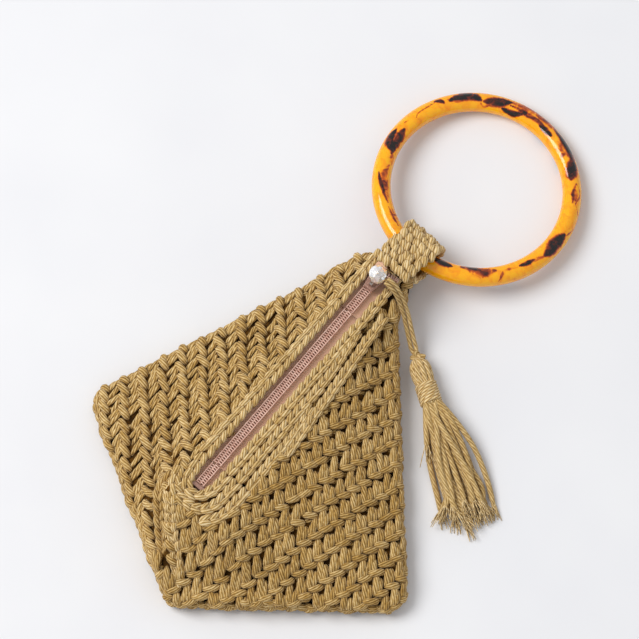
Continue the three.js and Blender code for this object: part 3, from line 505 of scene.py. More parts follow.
# Yarn, and pieces made of it
def yarn(paths, ups, radius, material, sides=8, flat=1.0, tone=None):
    """Tubes along paths (n, m, 3) whose tops face ups. The twist of the plies is in the map, not the mesh."""
    paths = np.asarray(paths, float)
    count, steps = paths.shape[:2]
    run = unit(np.gradient(paths, axis=1))
    side = unit(np.cross(run, np.broadcast_to(ups, paths.shape)))
    up = np.cross(side, run)
    radius = np.broadcast_to(radius, (count, steps))
    angle = 2 * np.pi * np.arange(sides) / sides
    across = radius[..., None] * np.cos(angle)
    above = radius[..., None] * np.sin(angle) * flat
    points = paths[:, :, None] + across[..., None] * side[:, :, None] + above[..., None] * up[:, :, None]
    first = (np.arange(count)[:, None, None] * steps + np.arange(steps - 1)[:, None]) * sides
    near = first + np.arange(sides)
    far = first + (np.arange(sides) + 1) % sides
    quads = np.stack([near, far, far + sides, near + sides], axis=-1).reshape(-1, 4)
    starts = np.arange(count)[:, None] * steps * sides + np.arange(sides)[::-1]
    ends = (np.arange(count)[:, None] + 1) * steps * sides - sides + np.arange(sides)
    travel = np.linalg.norm(np.diff(paths, axis=1), axis=2)
    travel = np.concatenate([np.zeros((count, 1)), np.cumsum(travel, axis=1)], axis=1)
    travel = travel + rng.uniform(0, 50, (count, 1))
    u0, u1 = travel[:, :-1, None], travel[:, 1:, None]
    plies = max(2, round(2 * math.pi * radius.max() / PLY_WIDTH))
    lean = math.tan(math.radians(PLY_LEAN)) / PLY_WIDTH
    v0 = np.arange(sides) / sides * plies
    v1 = v0 + plies / sides
    corners = [(u0, v0 - u0 * lean), (u0, v1 - u0 * lean), (u1, v1 - u1 * lean), (u1, v0 - u1 * lean)]
    shape = (count, steps - 1, sides)
    uvs = np.stack([np.stack([np.broadcast_to(u, shape), v], axis=-1) for u, v in corners], axis=-2)
    tone = rng.uniform(-1, 1, count) if tone is None else np.broadcast_to(tone, count)
    return {
        "points": points.reshape(-1, 3),
        "faces": [quads, np.vstack([starts, ends])],
        "uvs": uvs.reshape(-1, 2),
        "tones": np.repeat(tone, steps * sides),
        "material": material,
    }


def tapered(steps, radius, tip=0.35, run=0.3):
    """Radii of a stitch's strand, which thins where it dives under its neighbours."""
    t = np.linspace(0, 1, steps)
    edge = np.clip(np.minimum(t, 1 - t) / run, 0, 1)
    return radius * (tip + (1 - tip) * np.sin(edge * np.pi / 2))


def shrunken(node, inset, material):
    """The CAD solid of a crocheted piece, drawn in under the yarn that covers it."""
    solid = bmesh.new()
    solid.from_mesh(frame["nodes"][node].data)
    bmesh.ops.remove_doubles(solid, verts=solid.verts, dist=1e-6)
    solid.normal_update()
    points = np.array([vertex.co - vertex.normal * inset * MM for vertex in solid.verts]) / MM
    faces = [np.array([[vertex.index for vertex in face.verts] for face in solid.faces])]
    solid.free()
    return {
        "points": points,
        "faces": faces,
        "uvs": np.zeros((faces[0].size, 2)),
        "tones": np.zeros(len(points)),
        "material": material,
    }


def make_piece(name, body, parts, replaces=(), smooth=True):
    """One object from several parts, riding on a body and standing for CAD nodes."""
    mesh = bpy.data.meshes.new(name)
    points, faces, uvs, tones, slots = [], [], [], [], []
    total = 0
    for index, part in enumerate(parts):
        mesh.materials.append(part["material"])
        for group in part["faces"]:
            faces.extend((group + total).tolist())
            slots.extend([index] * len(group))
        loops = sum(group.size for group in part["faces"])
        uvs.append(np.vstack([part["uvs"], np.zeros((loops - len(part["uvs"]), 2))]))
        points.append(part["points"])
        tones.append(part["tones"])
        total += len(part["points"])
    mesh.from_pydata(np.vstack(points) * MM, [], faces)
    mesh.uv_layers.new(name="yarn").data.foreach_set("uv", np.vstack(uvs).ravel())
    mesh.attributes.new("tone", "FLOAT", "POINT").data.foreach_set("value", np.concatenate(tones))
    mesh.polygons.foreach_set("material_index", slots)
    mesh.polygons.foreach_set("use_smooth", [smooth] * len(slots))
    mesh.update()
    piece = bpy.data.objects.new(name, mesh)
    bpy.context.scene.collection.objects.link(piece)
    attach(piece, body)
    if replaces:
        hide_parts(*replaces)
    return piece


# Camera and stage
def set_camera():
    data = bpy.data.cameras.new("camera")
    data.sensor_width = 36
    data.lens = 18 / math.tan(math.radians(VIEW_ANGLE) / 2)
    data.clip_end = 10
    camera = bpy.data.objects.new("camera", data)
    bpy.context.scene.collection.objects.link(camera)
    azimuth, elevation = math.radians(VIEW_AZIMUTH), math.radians(VIEW_ELEVATION)
    level = math.cos(elevation)
    back = Vector((math.sin(azimuth) * level, -math.cos(azimuth) * level, math.sin(elevation)))
    camera.location = (Vector(VIEW_CENTRE) + back * VIEW_DISTANCE) * MM
    camera.rotation_euler = (-back).to_track_quat("-Z", "Y").to_euler()
    bpy.context.scene.camera = camera


def set_stage():
    bpy.context.scene.view_settings.view_transform = "Standard"
    mesh = bpy.data.meshes.new("table")
    edge = TABLE_REACH * MM
    corners = [(-edge, -edge, 0), (edge, -edge, 0), (edge, edge, 0), (-edge, edge, 0)]
    mesh.from_pydata(corners, [], [(0, 1, 2, 3)])
    mesh.materials.append(PAINT)
    table = bpy.data.objects.new("table", mesh)
    bpy.context.scene.collection.objects.link(table)
    world = bpy.data.worlds.new("studio")
    bpy.context.scene.world = world
    world.use_nodes = True
    world.node_tree.nodes["Background"].inputs["Color"].default_value = srgb("#F4F5F8")
    world.node_tree.nodes["Background"].inputs["Strength"].default_value = WORLD_STRENGTH


def set_softbox():
    data = bpy.data.lights.new("softbox", "AREA")
    data.shape = "DISK"
    data.size = SOFTBOX_SIZE * MM
    data.energy = SOFTBOX_POWER
    lamp = bpy.data.objects.new("softbox", data)
    lamp.location = Vector(SOFTBOX_PLACE) * MM
    lamp.rotation_euler = (Vector(VIEW_CENTRE) - Vector(SOFTBOX_PLACE)).to_track_quat("-Z", "Y").to_euler()
    bpy.context.scene.collection.objects.link(lamp)


# Cord of the tassel
def cord_strands():
    """The two strands of the cord, from the bead to the tassel's knot, and the lines that they follow."""
    route = np.array(CORD_ROUTE)
    run = np.gradient(route, axis=0)
    across = unit(np.stack([-run[:, 1], run[:, 0], np.zeros(len(run))], axis=1))
    knot = joint_place("tassel_swing")
    strands = []
    for name, side in (("left", 1), ("right", -1)):
        line = rounded(np.vstack([route + across * side * CORD_SPACING / 2, knot]), CORD_STEPS)
        part = yarn(line[None], UP, CORD_STRAND / 2, TASSEL_YARN, sides=10)
        strand = make_piece(f"cord_{name}", "pull", [part], [f"tassel_cord_{name}"])
        strands.append((strand, line))
    return strands


# Sheets
def sheet(top, outs, thickness, material, cells=None):
    """A closed sheet under a grid of points, or under some of its cells, mapped in millimetres."""
    rows, columns = top.shape[:2]
    size = rows * columns
    points = np.vstack([top.reshape(-1, 3), (top - outs * thickness).reshape(-1, 3)])
    index = np.arange(size).reshape(rows, columns)
    quads = np.stack([index[:-1, :-1], index[1:, :-1], index[1:, 1:], index[:-1, 1:]], axis=-1)
    quads = quads.reshape(-1, 4) if cells is None else quads[cells]
    starts, ends = quads.ravel(), np.roll(quads, -1, axis=1).ravel()
    border = ~np.isin(starts * size + ends, ends * size + starts)
    starts, ends = starts[border], ends[border]
    walls = np.stack([ends, starts, starts + size, ends + size], axis=-1)
    faces = np.vstack([quads, quads[:, ::-1] + size, walls])
    u = np.broadcast_to(lengths_along(top[:, 0])[:, None], (rows, columns)).ravel()
    v = np.broadcast_to(lengths_along(top[0])[None], (rows, columns)).ravel()
    plan = np.stack([u, v], axis=1)
    uvs = np.vstack([plan, plan])[faces.ravel()]
    used, faces = np.unique(faces, return_inverse=True)
    return {
        "points": points[used],
        "faces": [faces.reshape(-1, 4)],
        "uvs": uvs,
        "tones": np.zeros(len(used)),
        "material": material,
    }


# Crochet: the outside of the pouch as a map from plan to space
def rim_loop():
    """The outline of the pouch, drawn in by the radius of its rim, as closely spaced points."""
    points = node_points("back_panel")
    points = np.unique(points[points[:, 2] < 1][:, :2].round(3), axis=0)
    middle = points.mean(axis=0)
    points = points[np.argsort(np.arctan2(*(points - middle).T[::-1]))]
    closed = np.vstack([points, points[:1]])
    travel = lengths_along(closed)
    places = np.linspace(0, travel[-1], RIM_POINTS, endpoint=False)
    loop = np.stack([np.interp(places, travel, closed[:, k]) for k in (0, 1)], axis=1)
    run = np.roll(loop, -2, axis=0) - np.roll(loop, 2, axis=0)
    inward = unit(np.stack([-run[:, 1], run[:, 0]], axis=1))
    return loop + inward * RIM_RADIUS


def height_map(nodes, low, high):
    """Heights of the solids seen from above on a 1 mm grid, over their grooves, and the node under each."""
    points, faces, owners = [], [], []
    for owner, name in enumerate(nodes):
        mesh = frame["nodes"][name].data
        faces.extend([[index + len(points) for index in face.vertices] for face in mesh.polygons])
        owners.extend([owner] * len(mesh.polygons))
        points.extend(vertex.co for vertex in mesh.vertices)
    tree = BVHTree.FromPolygons(points, faces)
    fill_rounds, groove_reach, outside = 16, 3, 11.0
    rows, columns = high[1] - low[1] + 1, high[0] - low[0] + 1
    heights = np.full((rows, columns), np.nan)
    seen = np.full((rows, columns), -1)
    down = Vector((0, 0, -1))
    for i in range(rows):
        for j in range(columns):
            hit = tree.ray_cast(Vector(((low[0] + j) * MM, (low[1] + i) * MM, 0.1)), down)
            if hit[0] is not None:
                heights[i, j] = hit[0].z / MM
                seen[i, j] = owners[hit[2]]
    for _ in range(fill_rounds):
        near = np.stack([np.roll(heights, shift, (0, 1)) for shift in ((0, 1), (1, 0), (0, -1), (-1, 0))])
        known = (~np.isnan(near)).sum(axis=0)
        fill = np.where(known > 0, np.nansum(near, axis=0) / np.maximum(known, 1), np.nan)
        heights = np.where(np.isnan(heights), fill, heights)
    heights = np.nan_to_num(heights, nan=outside)
    reach = range(-groove_reach, groove_reach + 1)
    for pick in (np.max, np.min):
        heights = pick([np.roll(heights, (i, j), (0, 1)) for i in reach for j in reach], axis=0)
    for _ in range(3):
        heights = sum(np.roll(heights, (i, j), (0, 1)) for i in (-1, 0, 1) for j in (-1, 0, 1)) / 9
    return heights, seen


MAP_LOW = (-100, -75)
MAP_HIGH = (105, 135)
FRONT_NODES = [
    "front_left_panel", "front_right_panel", "mouth_end_lower", "mouth_end_upper", "lip_left", "lip_right"]
RIM = rim_loop()
FRONT_OWNERS = height_map(FRONT_NODES, MAP_LOW, MAP_HIGH)[1]
LEFT_HEIGHTS = height_map(FRONT_NODES[:1], MAP_LOW, MAP_HIGH)[0]
RIGHT_HEIGHTS = height_map(FRONT_NODES[1:], MAP_LOW, MAP_HIGH)[0]


def sampled(plan, heights):
    place = np.clip(plan - MAP_LOW, 0, np.array(heights.shape[::-1]) - 1.001)
    j, i = place[..., 0].astype(int), place[..., 1].astype(int)
    fx, fy = place[..., 0] - j, place[..., 1] - i
    top = heights[i, j] * (1 - fx) + heights[i, j + 1] * fx
    bottom = heights[i + 1, j] * (1 - fx) + heights[i + 1, j + 1] * fx
    return top * (1 - fy) + bottom * fy


def nearest_on_rim(plan):
    """For each point in plan: the nearest point of the rim loop, and how far outside the loop it is."""
    a, b = RIM, np.roll(RIM, -1, axis=0)
    flat = plan.reshape(-1, 2)
    run = b - a
    share = ((flat[:, None] - a) * run).sum(-1) / (run**2).sum(-1)
    spots = a + np.clip(share, 0, 1)[..., None] * run
    gaps = np.linalg.norm(flat[:, None] - spots, axis=-1)
    best = gaps.argmin(axis=1)
    spot = spots[np.arange(len(flat)), best]
    crosses = (a[:, 1] > flat[:, None, 1]) != (b[:, 1] > flat[:, None, 1])
    rise = np.where(run[:, 1] == 0, 1e-9, run[:, 1])
    level = a[:, 0] + (flat[:, None, 1] - a[:, 1]) / rise * run[:, 0]
    inside = (crosses & (flat[:, None, 0] < level)).sum(axis=1) % 2 == 1
    gap = np.where(inside, 0, gaps.min(axis=1))
    return spot.reshape(plan.shape), gap.reshape(plan.shape[:-1])


def wrapped(plan, heights):
    """A point of the flat crochet as it lies on the pouch, bent round the rim where it passes the loop.

    Heights are those of a front panel, or none for the back, which lies flat."""
    spot, gap = nearest_on_rim(plan)
    turn = np.clip(gap / RIM_RADIUS, 0, math.pi)
    out = (plan - spot) / np.maximum(gap, 1e-6)[..., None]
    bent = spot + out * (RIM_RADIUS * np.sin(turn))[..., None]
    place = np.where(gap[..., None] > 0, bent, plan)
    fall = RIM_RADIUS * (1 - np.cos(turn))
    level = np.where(gap[..., None] > 0, spot, plan)
    height = fall if heights is None else sampled(level, heights) - fall
    return np.concatenate([place, height[..., None]], axis=-1)


def on_pouch(plan, heights, step=0.7):
    """Points and outward directions on the pouch for points of the flat crochet."""
    right = wrapped(plan + (step, 0), heights) - wrapped(plan - (step, 0), heights)
    ahead = wrapped(plan + (0, step), heights) - wrapped(plan - (0, step), heights)
    out = unit(np.cross(right, ahead))
    return wrapped(plan, heights), -out if heights is None else out


def stitch_grid(heading, reach=140, middle=(0, 20)):
    """Middles of stitches in ribs that run along a heading, each rib a step behind the last."""
    along = np.array([math.cos(math.radians(heading)), math.sin(math.radians(heading))])
    right = np.array([along[1], -along[0]])
    ribs = np.arange(-reach // RIB_SPACING, reach // RIB_SPACING + 1)
    steps = np.arange(-reach // STITCH_PITCH, reach // STITCH_PITCH + 1)
    a = steps * STITCH_PITCH + (ribs[:, None] * RIB_STAGGER) % STITCH_PITCH
    b = np.broadcast_to(ribs[:, None] * RIB_SPACING, a.shape)
    centres = a[..., None] * along + b[..., None] * right + middle
    return centres.reshape(-1, 2), np.array([along, right])


def strands_on_pouch(centres, axes, strand, steps, heights=None):
    """One strand of every stitch, from its shape given as (along the rib, across it, height)."""
    ahead, aside, above = rounded(strand, steps).T
    each = (len(centres), 1)
    turn = rng.normal(0, STRAY_TURN, each)
    size = rng.normal(1, STRAY_SIZE, each)
    a = (ahead * np.cos(turn) - aside * np.sin(turn)) * size + rng.normal(0, STRAY_SHIFT, each)
    b = (ahead * np.sin(turn) + aside * np.cos(turn)) * size + rng.normal(0, STRAY_SHIFT, each)
    plan = centres[:, None] + a[..., None] * axes[0] + b[..., None] * axes[1]
    points, out = on_pouch(plan, heights)
    lift = above + rng.normal(0, STRAY_LIFT, each)
    if heights is not None:
        lift = lift - EDGING_SINK * under_edging(plan)
    return points + out * lift[..., None], out


# Shapes of the strands of one stitch: (along the rib towards its point, across it to the right, height)
LEFT_STITCH = [
    ([(3.3, -0.9, -2.2), (1.7, -0.3, -0.8), (-0.4, 0.8, -0.3), (-2.3, 1.9, -0.9), (-3.5, 2.6, -2.6)], 1.65),
    ([(2.3, -0.5, -1.9), (0.9, -1.5, -0.9), (-0.8, -3, -0.9), (-2.4, -4.6, -1.2), (-3.7, -6, -2.4)], 1.05),
    ([(0.5, -0.3, -1.9), (-0.9, -1.3, -0.9), (-2.6, -2.8, -0.9), (-4.2, -4.4, -1.2), (-5.5, -5.8, -2.4)], 1),
    ([(-0.6, 1.2, -2.8), (-0.9, 3.0, -2.4), (-1.0, 5.0, -2.9)], 1.0),
]
RIGHT_STITCH = [
    ([(2.7, -0.8, -1.7), (1.4, 0.6, -0.4), (-0.7, 2.8, -0.1), (-2.7, 4.9, -0.5), (-3.9, 6.2, -1.8)], 1.5),
    ([(1.0, -1.5, -1.7), (-0.3, -0.1, -0.4), (-2.0, 1.6, -0.2), (-3.6, 3.2, -1.1), (-4.4, 4.0, -2.6)], 1.45),
    ([(3.3, 0.2, -1.5), (1.7, -0.7, -0.2), (-0.7, -1.8, 0.0), (-2.5, -2.5, -0.9), (-3.3, -2.8, -2.4)], 1.6),
    ([(-1.0, -4.4, -2.7), (1.2, -3.4, -2.3), (3.4, -2.2, -2.7)], 1.2),
]
CHAIN_STITCH = [
    ([(3.0, 0.25, -1.9), (1.5, 0.75, -0.75), (-0.6, 1.35, -0.6), (-2.7, 1.9, -1.8)], 1.35),
    ([(3.0, -0.25, -1.9), (1.5, -0.75, -0.75), (-0.6, -1.35, -0.6), (-2.7, -1.9, -1.8)], 1.35),
]
TAB_STITCH = [
    ([(1.9, 0.3, -1.7), (1.0, 0.6, -0.5), (-0.5, 1.3, -0.2), (-1.7, 1.7, -1.3), (-2.2, 1.8, -2.2)], 1.4),
    ([(1.7, -1.3, -1.9), (0.8, -1.1, -0.6), (-0.6, -0.8, -0.4), (-1.7, -0.5, -1.4),
      (-2.1, -0.4, -2.3)], 1.25),
]


def owner_at(plan):
    """Which front node lies under each point, or -1 over the gaps between them and past the rim."""
    place = np.clip((plan - MAP_LOW).round().astype(int), 0, np.array(FRONT_OWNERS.shape[::-1]) - 1)
    return FRONT_OWNERS[place[..., 1], place[..., 0]]


def under_edging(plan):
    """Whether points lie on the lips, beside them or on the ends of the mouth, under rows of the edging."""
    ends = [k for k, name in enumerate(FRONT_NODES) if not name.startswith("front")]
    place = to_zip(np.concatenate([plan, sampled(plan, RIGHT_HEIGHTS)[..., None]], axis=-1))
    u, v = place[..., 0], place[..., 1]
    below = (u < EDGING_LOWEST) | (v < EDGING_CORNER - u / 2)
    beside = (u > LIP_ROW_SPAN[0]) & (u < LIP_ROW_SPAN[1]) & (v > lip_edge(u) - LIP_ROW_COVER) & (v < 0)
    return np.isin(owner_at(plan), ends) & ~below | beside


def belongs(plan, node, reach, past_rim):
    """Whether points of the flat crochet lie on a front panel, a little beyond its edges or round its rim."""
    spot, gap = nearest_on_rim(plan)
    probe = np.where(gap[..., None] > 0, spot, plan)
    own = FRONT_NODES.index(node)
    near = np.zeros(gap.shape, bool)
    for shift in ((0, 0), (reach, 0), (-reach, 0), (0, reach), (0, -reach)):
        near |= owner_at(probe + shift) == own
    under_fold = sampled(probe, RIGHT_HEIGHTS) - sampled(probe, LEFT_HEIGHTS) > 2
    hidden = (owner_at(probe) == 0) if own else (owner_at(probe) == 1) & ~under_fold
    return near & ~hidden & (gap < past_rim * RIM_RADIUS)


def panel_stitches(node, heights, heading, stitch, flat):
    """Stitches of one front panel, a row further than its edges so that they tuck under the edging."""
    on_top = node == "front_right_panel"
    centres, axes = stitch_grid(heading)
    centres = centres[belongs(centres, node, RIGHT_RUN_ON if on_top else LEFT_RUN_ON, FRONT_PAST_RIM)]
    u, v = to_zip(np.column_stack([centres, sampled(centres, RIGHT_HEIGHTS)])).T[:2]
    centres = centres[(u < 0) | (v < FREE_OF_ZIP[0]) | (v > FREE_OF_ZIP[1])]
    if on_top:
        off_fold = np.linalg.norm(centres[:, None] - fold_line()[:-FOLD_LOW_END], axis=-1).min(axis=1)
        centres = centres[off_fold > FREE_OF_FOLD]
    parts = []
    for strand, radius in stitch:
        paths, ups = strands_on_pouch(centres, axes, strand, PANEL_STEPS, heights)
        # the right panel's stitches are darker by a painted shade, for its slope away from the light
        tone = rng.uniform(*FRONT_TONES, len(centres)) - RIGHT_PANEL_PAINTED_SHADE * on_top
        parts.append(yarn(paths, ups, tapered(PANEL_STEPS, radius), YARN, flat=flat, tone=tone))
    return parts


def panel_ground(node, heights):
    """The hidden side of a front panel's stitches: a closed sheet in painted shade below them, bent round the
    rim.
    """
    x = np.arange(MAP_LOW[0], MAP_HIGH[0], GROUND_CELL)
    y = np.arange(MAP_LOW[1], MAP_HIGH[1], GROUND_CELL)
    plan = np.stack(np.meshgrid(x, y, indexing="ij"), axis=-1)
    kept = belongs(plan, node, GROUND_RUN_ON, GROUND_PAST_RIM)
    points, out = on_pouch(plan, heights)
    cells = kept[:-1, :-1] & kept[1:, :-1] & kept[1:, 1:] & kept[:-1, 1:]
    return sheet(points - out * GROUND_DEPTH, out, GROUND_THICKNESS, GROUND, cells)


def fold_line():
    """The fold where the right panel lies over the left one, from the corner of the mouth down to the rim."""
    left, right, corner = [FRONT_NODES.index(name) for name in (
        "front_left_panel", "front_right_panel", "mouth_end_lower")]
    bottom = int(np.argwhere(FRONT_OWNERS == corner)[:, 0].min())
    spots = []
    for row in range(bottom + FOLD_START, 0, -1):
        owners = FRONT_OWNERS[row]
        over = np.flatnonzero((owners == right) | (owners == corner))
        under = np.flatnonzero(owners == left)
        if len(over) and len(under) and under.min() < over.min():
            spots.append((MAP_LOW[0] + over.min(), MAP_LOW[1] + row))
    return np.array(spots, float)


def lip_edge(u):
    """The outer edge of the right lip, across the zip, at lengths along the zip."""
    lip = to_zip(node_points("lip_right"))
    start, end = lip[:, 0].min(), lip[:, 0].max()
    wide, narrow = lip[lip[:, 0] < start + 1][:, 1].min(), lip[lip[:, 0] > end - 1][:, 1].min()
    return wide + (u - start) / (end - start) * (narrow - wide)


def fold_rows():
    """Rows of small stitches along the fold: over its round edge, down its side and at its foot, where
    painted shade darkens the row.
    """
    line = fold_line()
    spots = np.vstack([line[:-6:7], line[-4:-3]])
    plan = rounded(spots, 44)
    run = unit(np.gradient(plan, axis=0))
    inside = np.stack([-run[:, 1], run[:, 0]], axis=1)
    top = sampled(plan + inside * 5, RIGHT_HEIGHTS)
    parts = []
    for lean in np.radians(FOLD_LEANS):
        place = plan + inside * FOLD_RADIUS * (1 - math.sin(lean))
        line = np.column_stack([place, top - FOLD_RADIUS * (1 - math.cos(lean))])
        out = np.column_stack([-inside * math.sin(lean), np.full(len(plan), math.cos(lean))])
        parts += chain_row(line, out, width=0.85)
    foot = plan - inside * FOLD_FOOT
    # the foot row lies in the crease under the fold, and tone -0.8 paints the shade there
    line = np.column_stack([foot, sampled(foot, LEFT_HEIGHTS) - 0.2])
    return parts + chain_row(line, UP, width=1.05, material=YARN, tone=-0.8)


def crochet_panels():
    left, right = FRONT_NODES[:2]
    parts = panel_stitches(left, LEFT_HEIGHTS, LEFT_HEADING, LEFT_STITCH, 0.9)
    ground = panel_ground(left, LEFT_HEIGHTS)
    make_piece("left_crochet", "pouch", [ground, *parts], [left])
    parts = panel_stitches(right, RIGHT_HEIGHTS, RIGHT_HEADING, RIGHT_STITCH, 0.65) + fold_rows()
    low, high = LIP_ROW_SPAN
    beside_lip = [(u, lip_edge(u) - LIP_ROW_OFFSET) for u in (high, 90, 60, low)]
    parts += zip_row(beside_lip, width=[0.8, 0.9, 0.9, 0.7])
    ground = panel_ground(right, RIGHT_HEIGHTS)
    make_piece("right_crochet", "pouch", [ground, *parts], [right])


def rim_rows():
    """Rows of chain stitches round the rim, where the front and the back of the pouch are sewn together."""
    run = unit(np.roll(RIM, -2, axis=0) - np.roll(RIM, 2, axis=0))
    out = np.column_stack([run[:, 1], -run[:, 0], np.zeros(len(RIM))])
    left = owner_at(RIM) == FRONT_NODES.index("front_left_panel")
    top = np.where(left, sampled(RIM, LEFT_HEIGHTS), sampled(RIM, RIGHT_HEIGHTS))
    parts = []
    for row, level in enumerate(RIM_LEVELS):
        reach = np.where((RIM[:, 1] > NARROW_END) & (row > 0), RIM_OUT_BY_TAB, RIM_OUT)
        tall = top > level + RIM_HEADROOM
        for stretch in np.split(np.arange(len(RIM)), np.flatnonzero(np.diff(tall)) + 1):
            if tall[stretch[0]] and len(stretch) > 3:
                line = np.column_stack([RIM[stretch], np.full(len(stretch), level)])
                line += out[stretch] * reach[stretch, None]
                parts += chain_row(line, out[stretch], width=1.1, material=YARN, tone=-0.4)
    return parts


def back_crochet():
    centres, axes = stitch_grid(BACK_HEADING)
    gap = nearest_on_rim(centres)[1]
    centres = centres[gap < BACK_PAST_RIM * RIM_RADIUS]
    parts = [shrunken("back_panel", inset=1.6, material=GROUND)]
    for strand, radius in LEFT_STITCH:
        paths, ups = strands_on_pouch(centres, axes, strand, STITCH_STEPS)
        part = yarn(paths, ups, tapered(STITCH_STEPS, radius), YARN, sides=6)
        part["points"][:, 2] = np.maximum(part["points"][:, 2], TABLE_CLEARANCE)
        parts.append(part)
    make_piece("back_crochet", "pouch", parts + rim_rows(), ["back_panel"])


# Rows of chain stitches along a line
def line_tracks(line, ups, run_on=5):
    """Lengths along a line that runs on past both ends, with its points, right-hand sides and outs."""
    line = np.asarray(line, float)
    ups = np.broadcast_to(ups, line.shape)
    before = line[0] + unit(line[0] - line[1]) * run_on
    after = line[-1] + unit(line[-1] - line[-2]) * run_on
    line = np.vstack([before, line, after])
    ups = np.vstack([ups[:1], ups, ups[-1:]])
    run = unit(np.gradient(line, axis=0))
    out = unit(ups - run * (ups * run).sum(-1, keepdims=True))
    travel = lengths_along(line) - run_on
    return travel, travel[-1] - run_on, (line, np.cross(run, out), out)


def at_lengths(places, travel, tracks):
    return [np.stack([np.interp(places, travel, track[:, k]) for k in range(3)], axis=-1) for track in tracks]


def chain_row(line, ups, pitch=CHAIN_PITCH, width=1.0, offset=0.0, stitch=CHAIN_STITCH, loose=0.12,
              material=EDGE_YARN, tone=0.0):
    """Stitches along a line. Width scales them, offset moves them across, and loose is how far they stray."""
    travel, length, tracks = line_tracks(line, ups)
    count = max(1, round(length / pitch))
    step = length / count
    centres = (np.arange(count) + 0.5) * step
    widths = np.interp(centres, np.linspace(0, length, np.size(width)), np.atleast_1d(width))
    parts = []
    for strand, radius in stitch:
        ahead, aside, above = rounded(strand, STITCH_STEPS).T
        places = centres[:, None] + ahead * step / CHAIN_PITCH + rng.normal(0, loose, (count, 1))
        place, side, out = at_lengths(places, travel, tracks)
        across = aside * widths[:, None] + offset + rng.normal(0, loose, (count, 1))
        lift = above + rng.normal(0, loose, (count, 1))
        paths = place + side * across[..., None] + out * lift[..., None]
        radii = tapered(STITCH_STEPS, radius) * np.sqrt(widths)[:, None]
        tones = tone + rng.uniform(-1, 1, count)
        parts.append(yarn(paths, out, radii, material, flat=0.95, tone=tones))
    return parts


def zip_row(points, **settings):
    """A row of chain stitches on the lips, through points (along the zip, to its left)."""
    return chain_row(on_zip(rounded([(u, v, 0) for u, v in points], 60)), ZIP_AXES[2], **settings)


def edging_piece(name, body, node, inset, rows):
    make_piece(name, body, [shrunken(node, inset, GROUND), *rows], [node])


def edging():
    """Chain rows that run down the right of the zip, round its lower end and up the left."""
    lower, upper, left, right = [
        to_zip(node_points(name)) for name in ("mouth_end_lower", "mouth_end_upper", "lip_left", "lip_right")]
    low_end, high_start, end = lower[:, 0].max(), upper[:, 0].min(), upper[:, 0].max()
    lip_start, lip_end = left[:, 0].min(), left[:, 0].max()
    slot_left, slot_right = left[:, 1].min(), right[:, 1].max()
    first, second, third = [slot_right - offset for offset in EDGING_ROWS]
    first_high = first - 0.9
    left_low = (slot_left + left[left[:, 0] < lip_start + 1][:, 1].max()) / 2
    left_high = (slot_left + left[left[:, 0] > lip_end - 1][:, 1].max()) / 2
    right_end = (slot_right + upper[upper[:, 0] > end - 1][:, 1].min()) / 2

    rows = zip_row([
        (low_end, first), (6, first + 0.2), (2.0, first + 1.1), (-1.6, first + 2.6), (-3.4, -1),
        (-3.2, 2), (-0.8, 4.5), (3, 5.6), (low_end, left_low)])
    rows += zip_row([
        (low_end, second), (2, second + 0.5), (-3.6, second + 2.2), (-7.2, second + 6), (-8, 0),
        (-7.4, 4.5), (-4.2, 8.4), (2, 10.5)])
    rows += zip_row([(low_end, third), (2, third + 0.2), (-5, third + 2), (-10, third + 6)])
    edging_piece("edging_lower", "pouch", "mouth_end_lower", 1.3, rows)

    rows = zip_row([(lip_start, left_low), (lip_end, left_high)], width=[1.25, 0.92])
    edging_piece("edging_left", "left_lip", "lip_left", 1.2, rows)

    rows = zip_row([(lip_end, first_high), (lip_start, first)])
    rows += zip_row([
        (99, second + 2.4), (88, second + 1.2), (72, second - 0.2), (45, second),
        (lip_start, second)], width=[0.6, 0.8, 1.0, 1.0, 1.0])
    rows += zip_row([
        (60, third + 2.0), (48, third + 0.8), (36, third + 0.1),
        (lip_start, third)], width=[0.55, 0.7, 0.9, 1.0])
    edging_piece("edging_right", "right_lip", "lip_right", 1.2, rows)

    rows = zip_row([(high_start, left_high), (end, left_high)], width=0.9)
    rows += zip_row([(end, right_end), (high_start, first_high)], width=[0.5, 1.0])
    rows += zip_row([(end - 1.2, -7), (end - 1.2, 7)], width=0.5)
    edging_piece("edging_upper", "pouch", "mouth_end_upper", 1.0, rows)


# Zip
def stub(points):
    """The end of the right coil above the slider, which bends off to the right over the edging."""
    u, v, w = np.moveaxis(points, -1, 0)
    past = np.clip(u - STUB_START, 0, None)
    turn = np.radians(STUB_TURN) * np.clip(past / 3, 0, 1)
    rise = STUB_RISE * np.sin(np.clip(past / 4, 0, 1) * np.pi / 2) ** 2
    bent = (np.minimum(u, STUB_START) + past * np.cos(turn) + (v + 1) * np.sin(turn),
            (v + 1) * np.cos(turn) - 1 - past * np.sin(turn), w + rise)
    return np.stack(bent, axis=-1)


def curled_end():
    """The end of the left tape above the slider, which stands up and curls over."""
    line = rounded(CURL_ROUTE, 16)
    share = np.linspace(0, 1, len(line))[:, None]
    across = unit((1 - share) * np.array([0.0, 1.0, 0.3]) + share * np.array([0.9, 0.1, 0.5]))
    out = unit(np.cross(np.gradient(line, axis=0), across))[:, None]
    grid = line[:, None] + across[:, None] * np.linspace(-CURL_WIDTH / 2, CURL_WIDTH / 2, 5)[:, None]
    return sheet(on_zip(grid), out @ ZIP_AXES, CURL_THICKNESS, TAPE)


def zip_span(node, place):
    """The box of a length of the zip in the zip's frame, run on over the gap between a stub and its lip."""
    box = to_zip(node_points(node))
    low, high = box.min(axis=0), box.max(axis=0)
    low[0] -= LIP_END_COVER * (place == "upper")
    high[0] += LIP_END_COVER * (place == "lower")
    return low, high


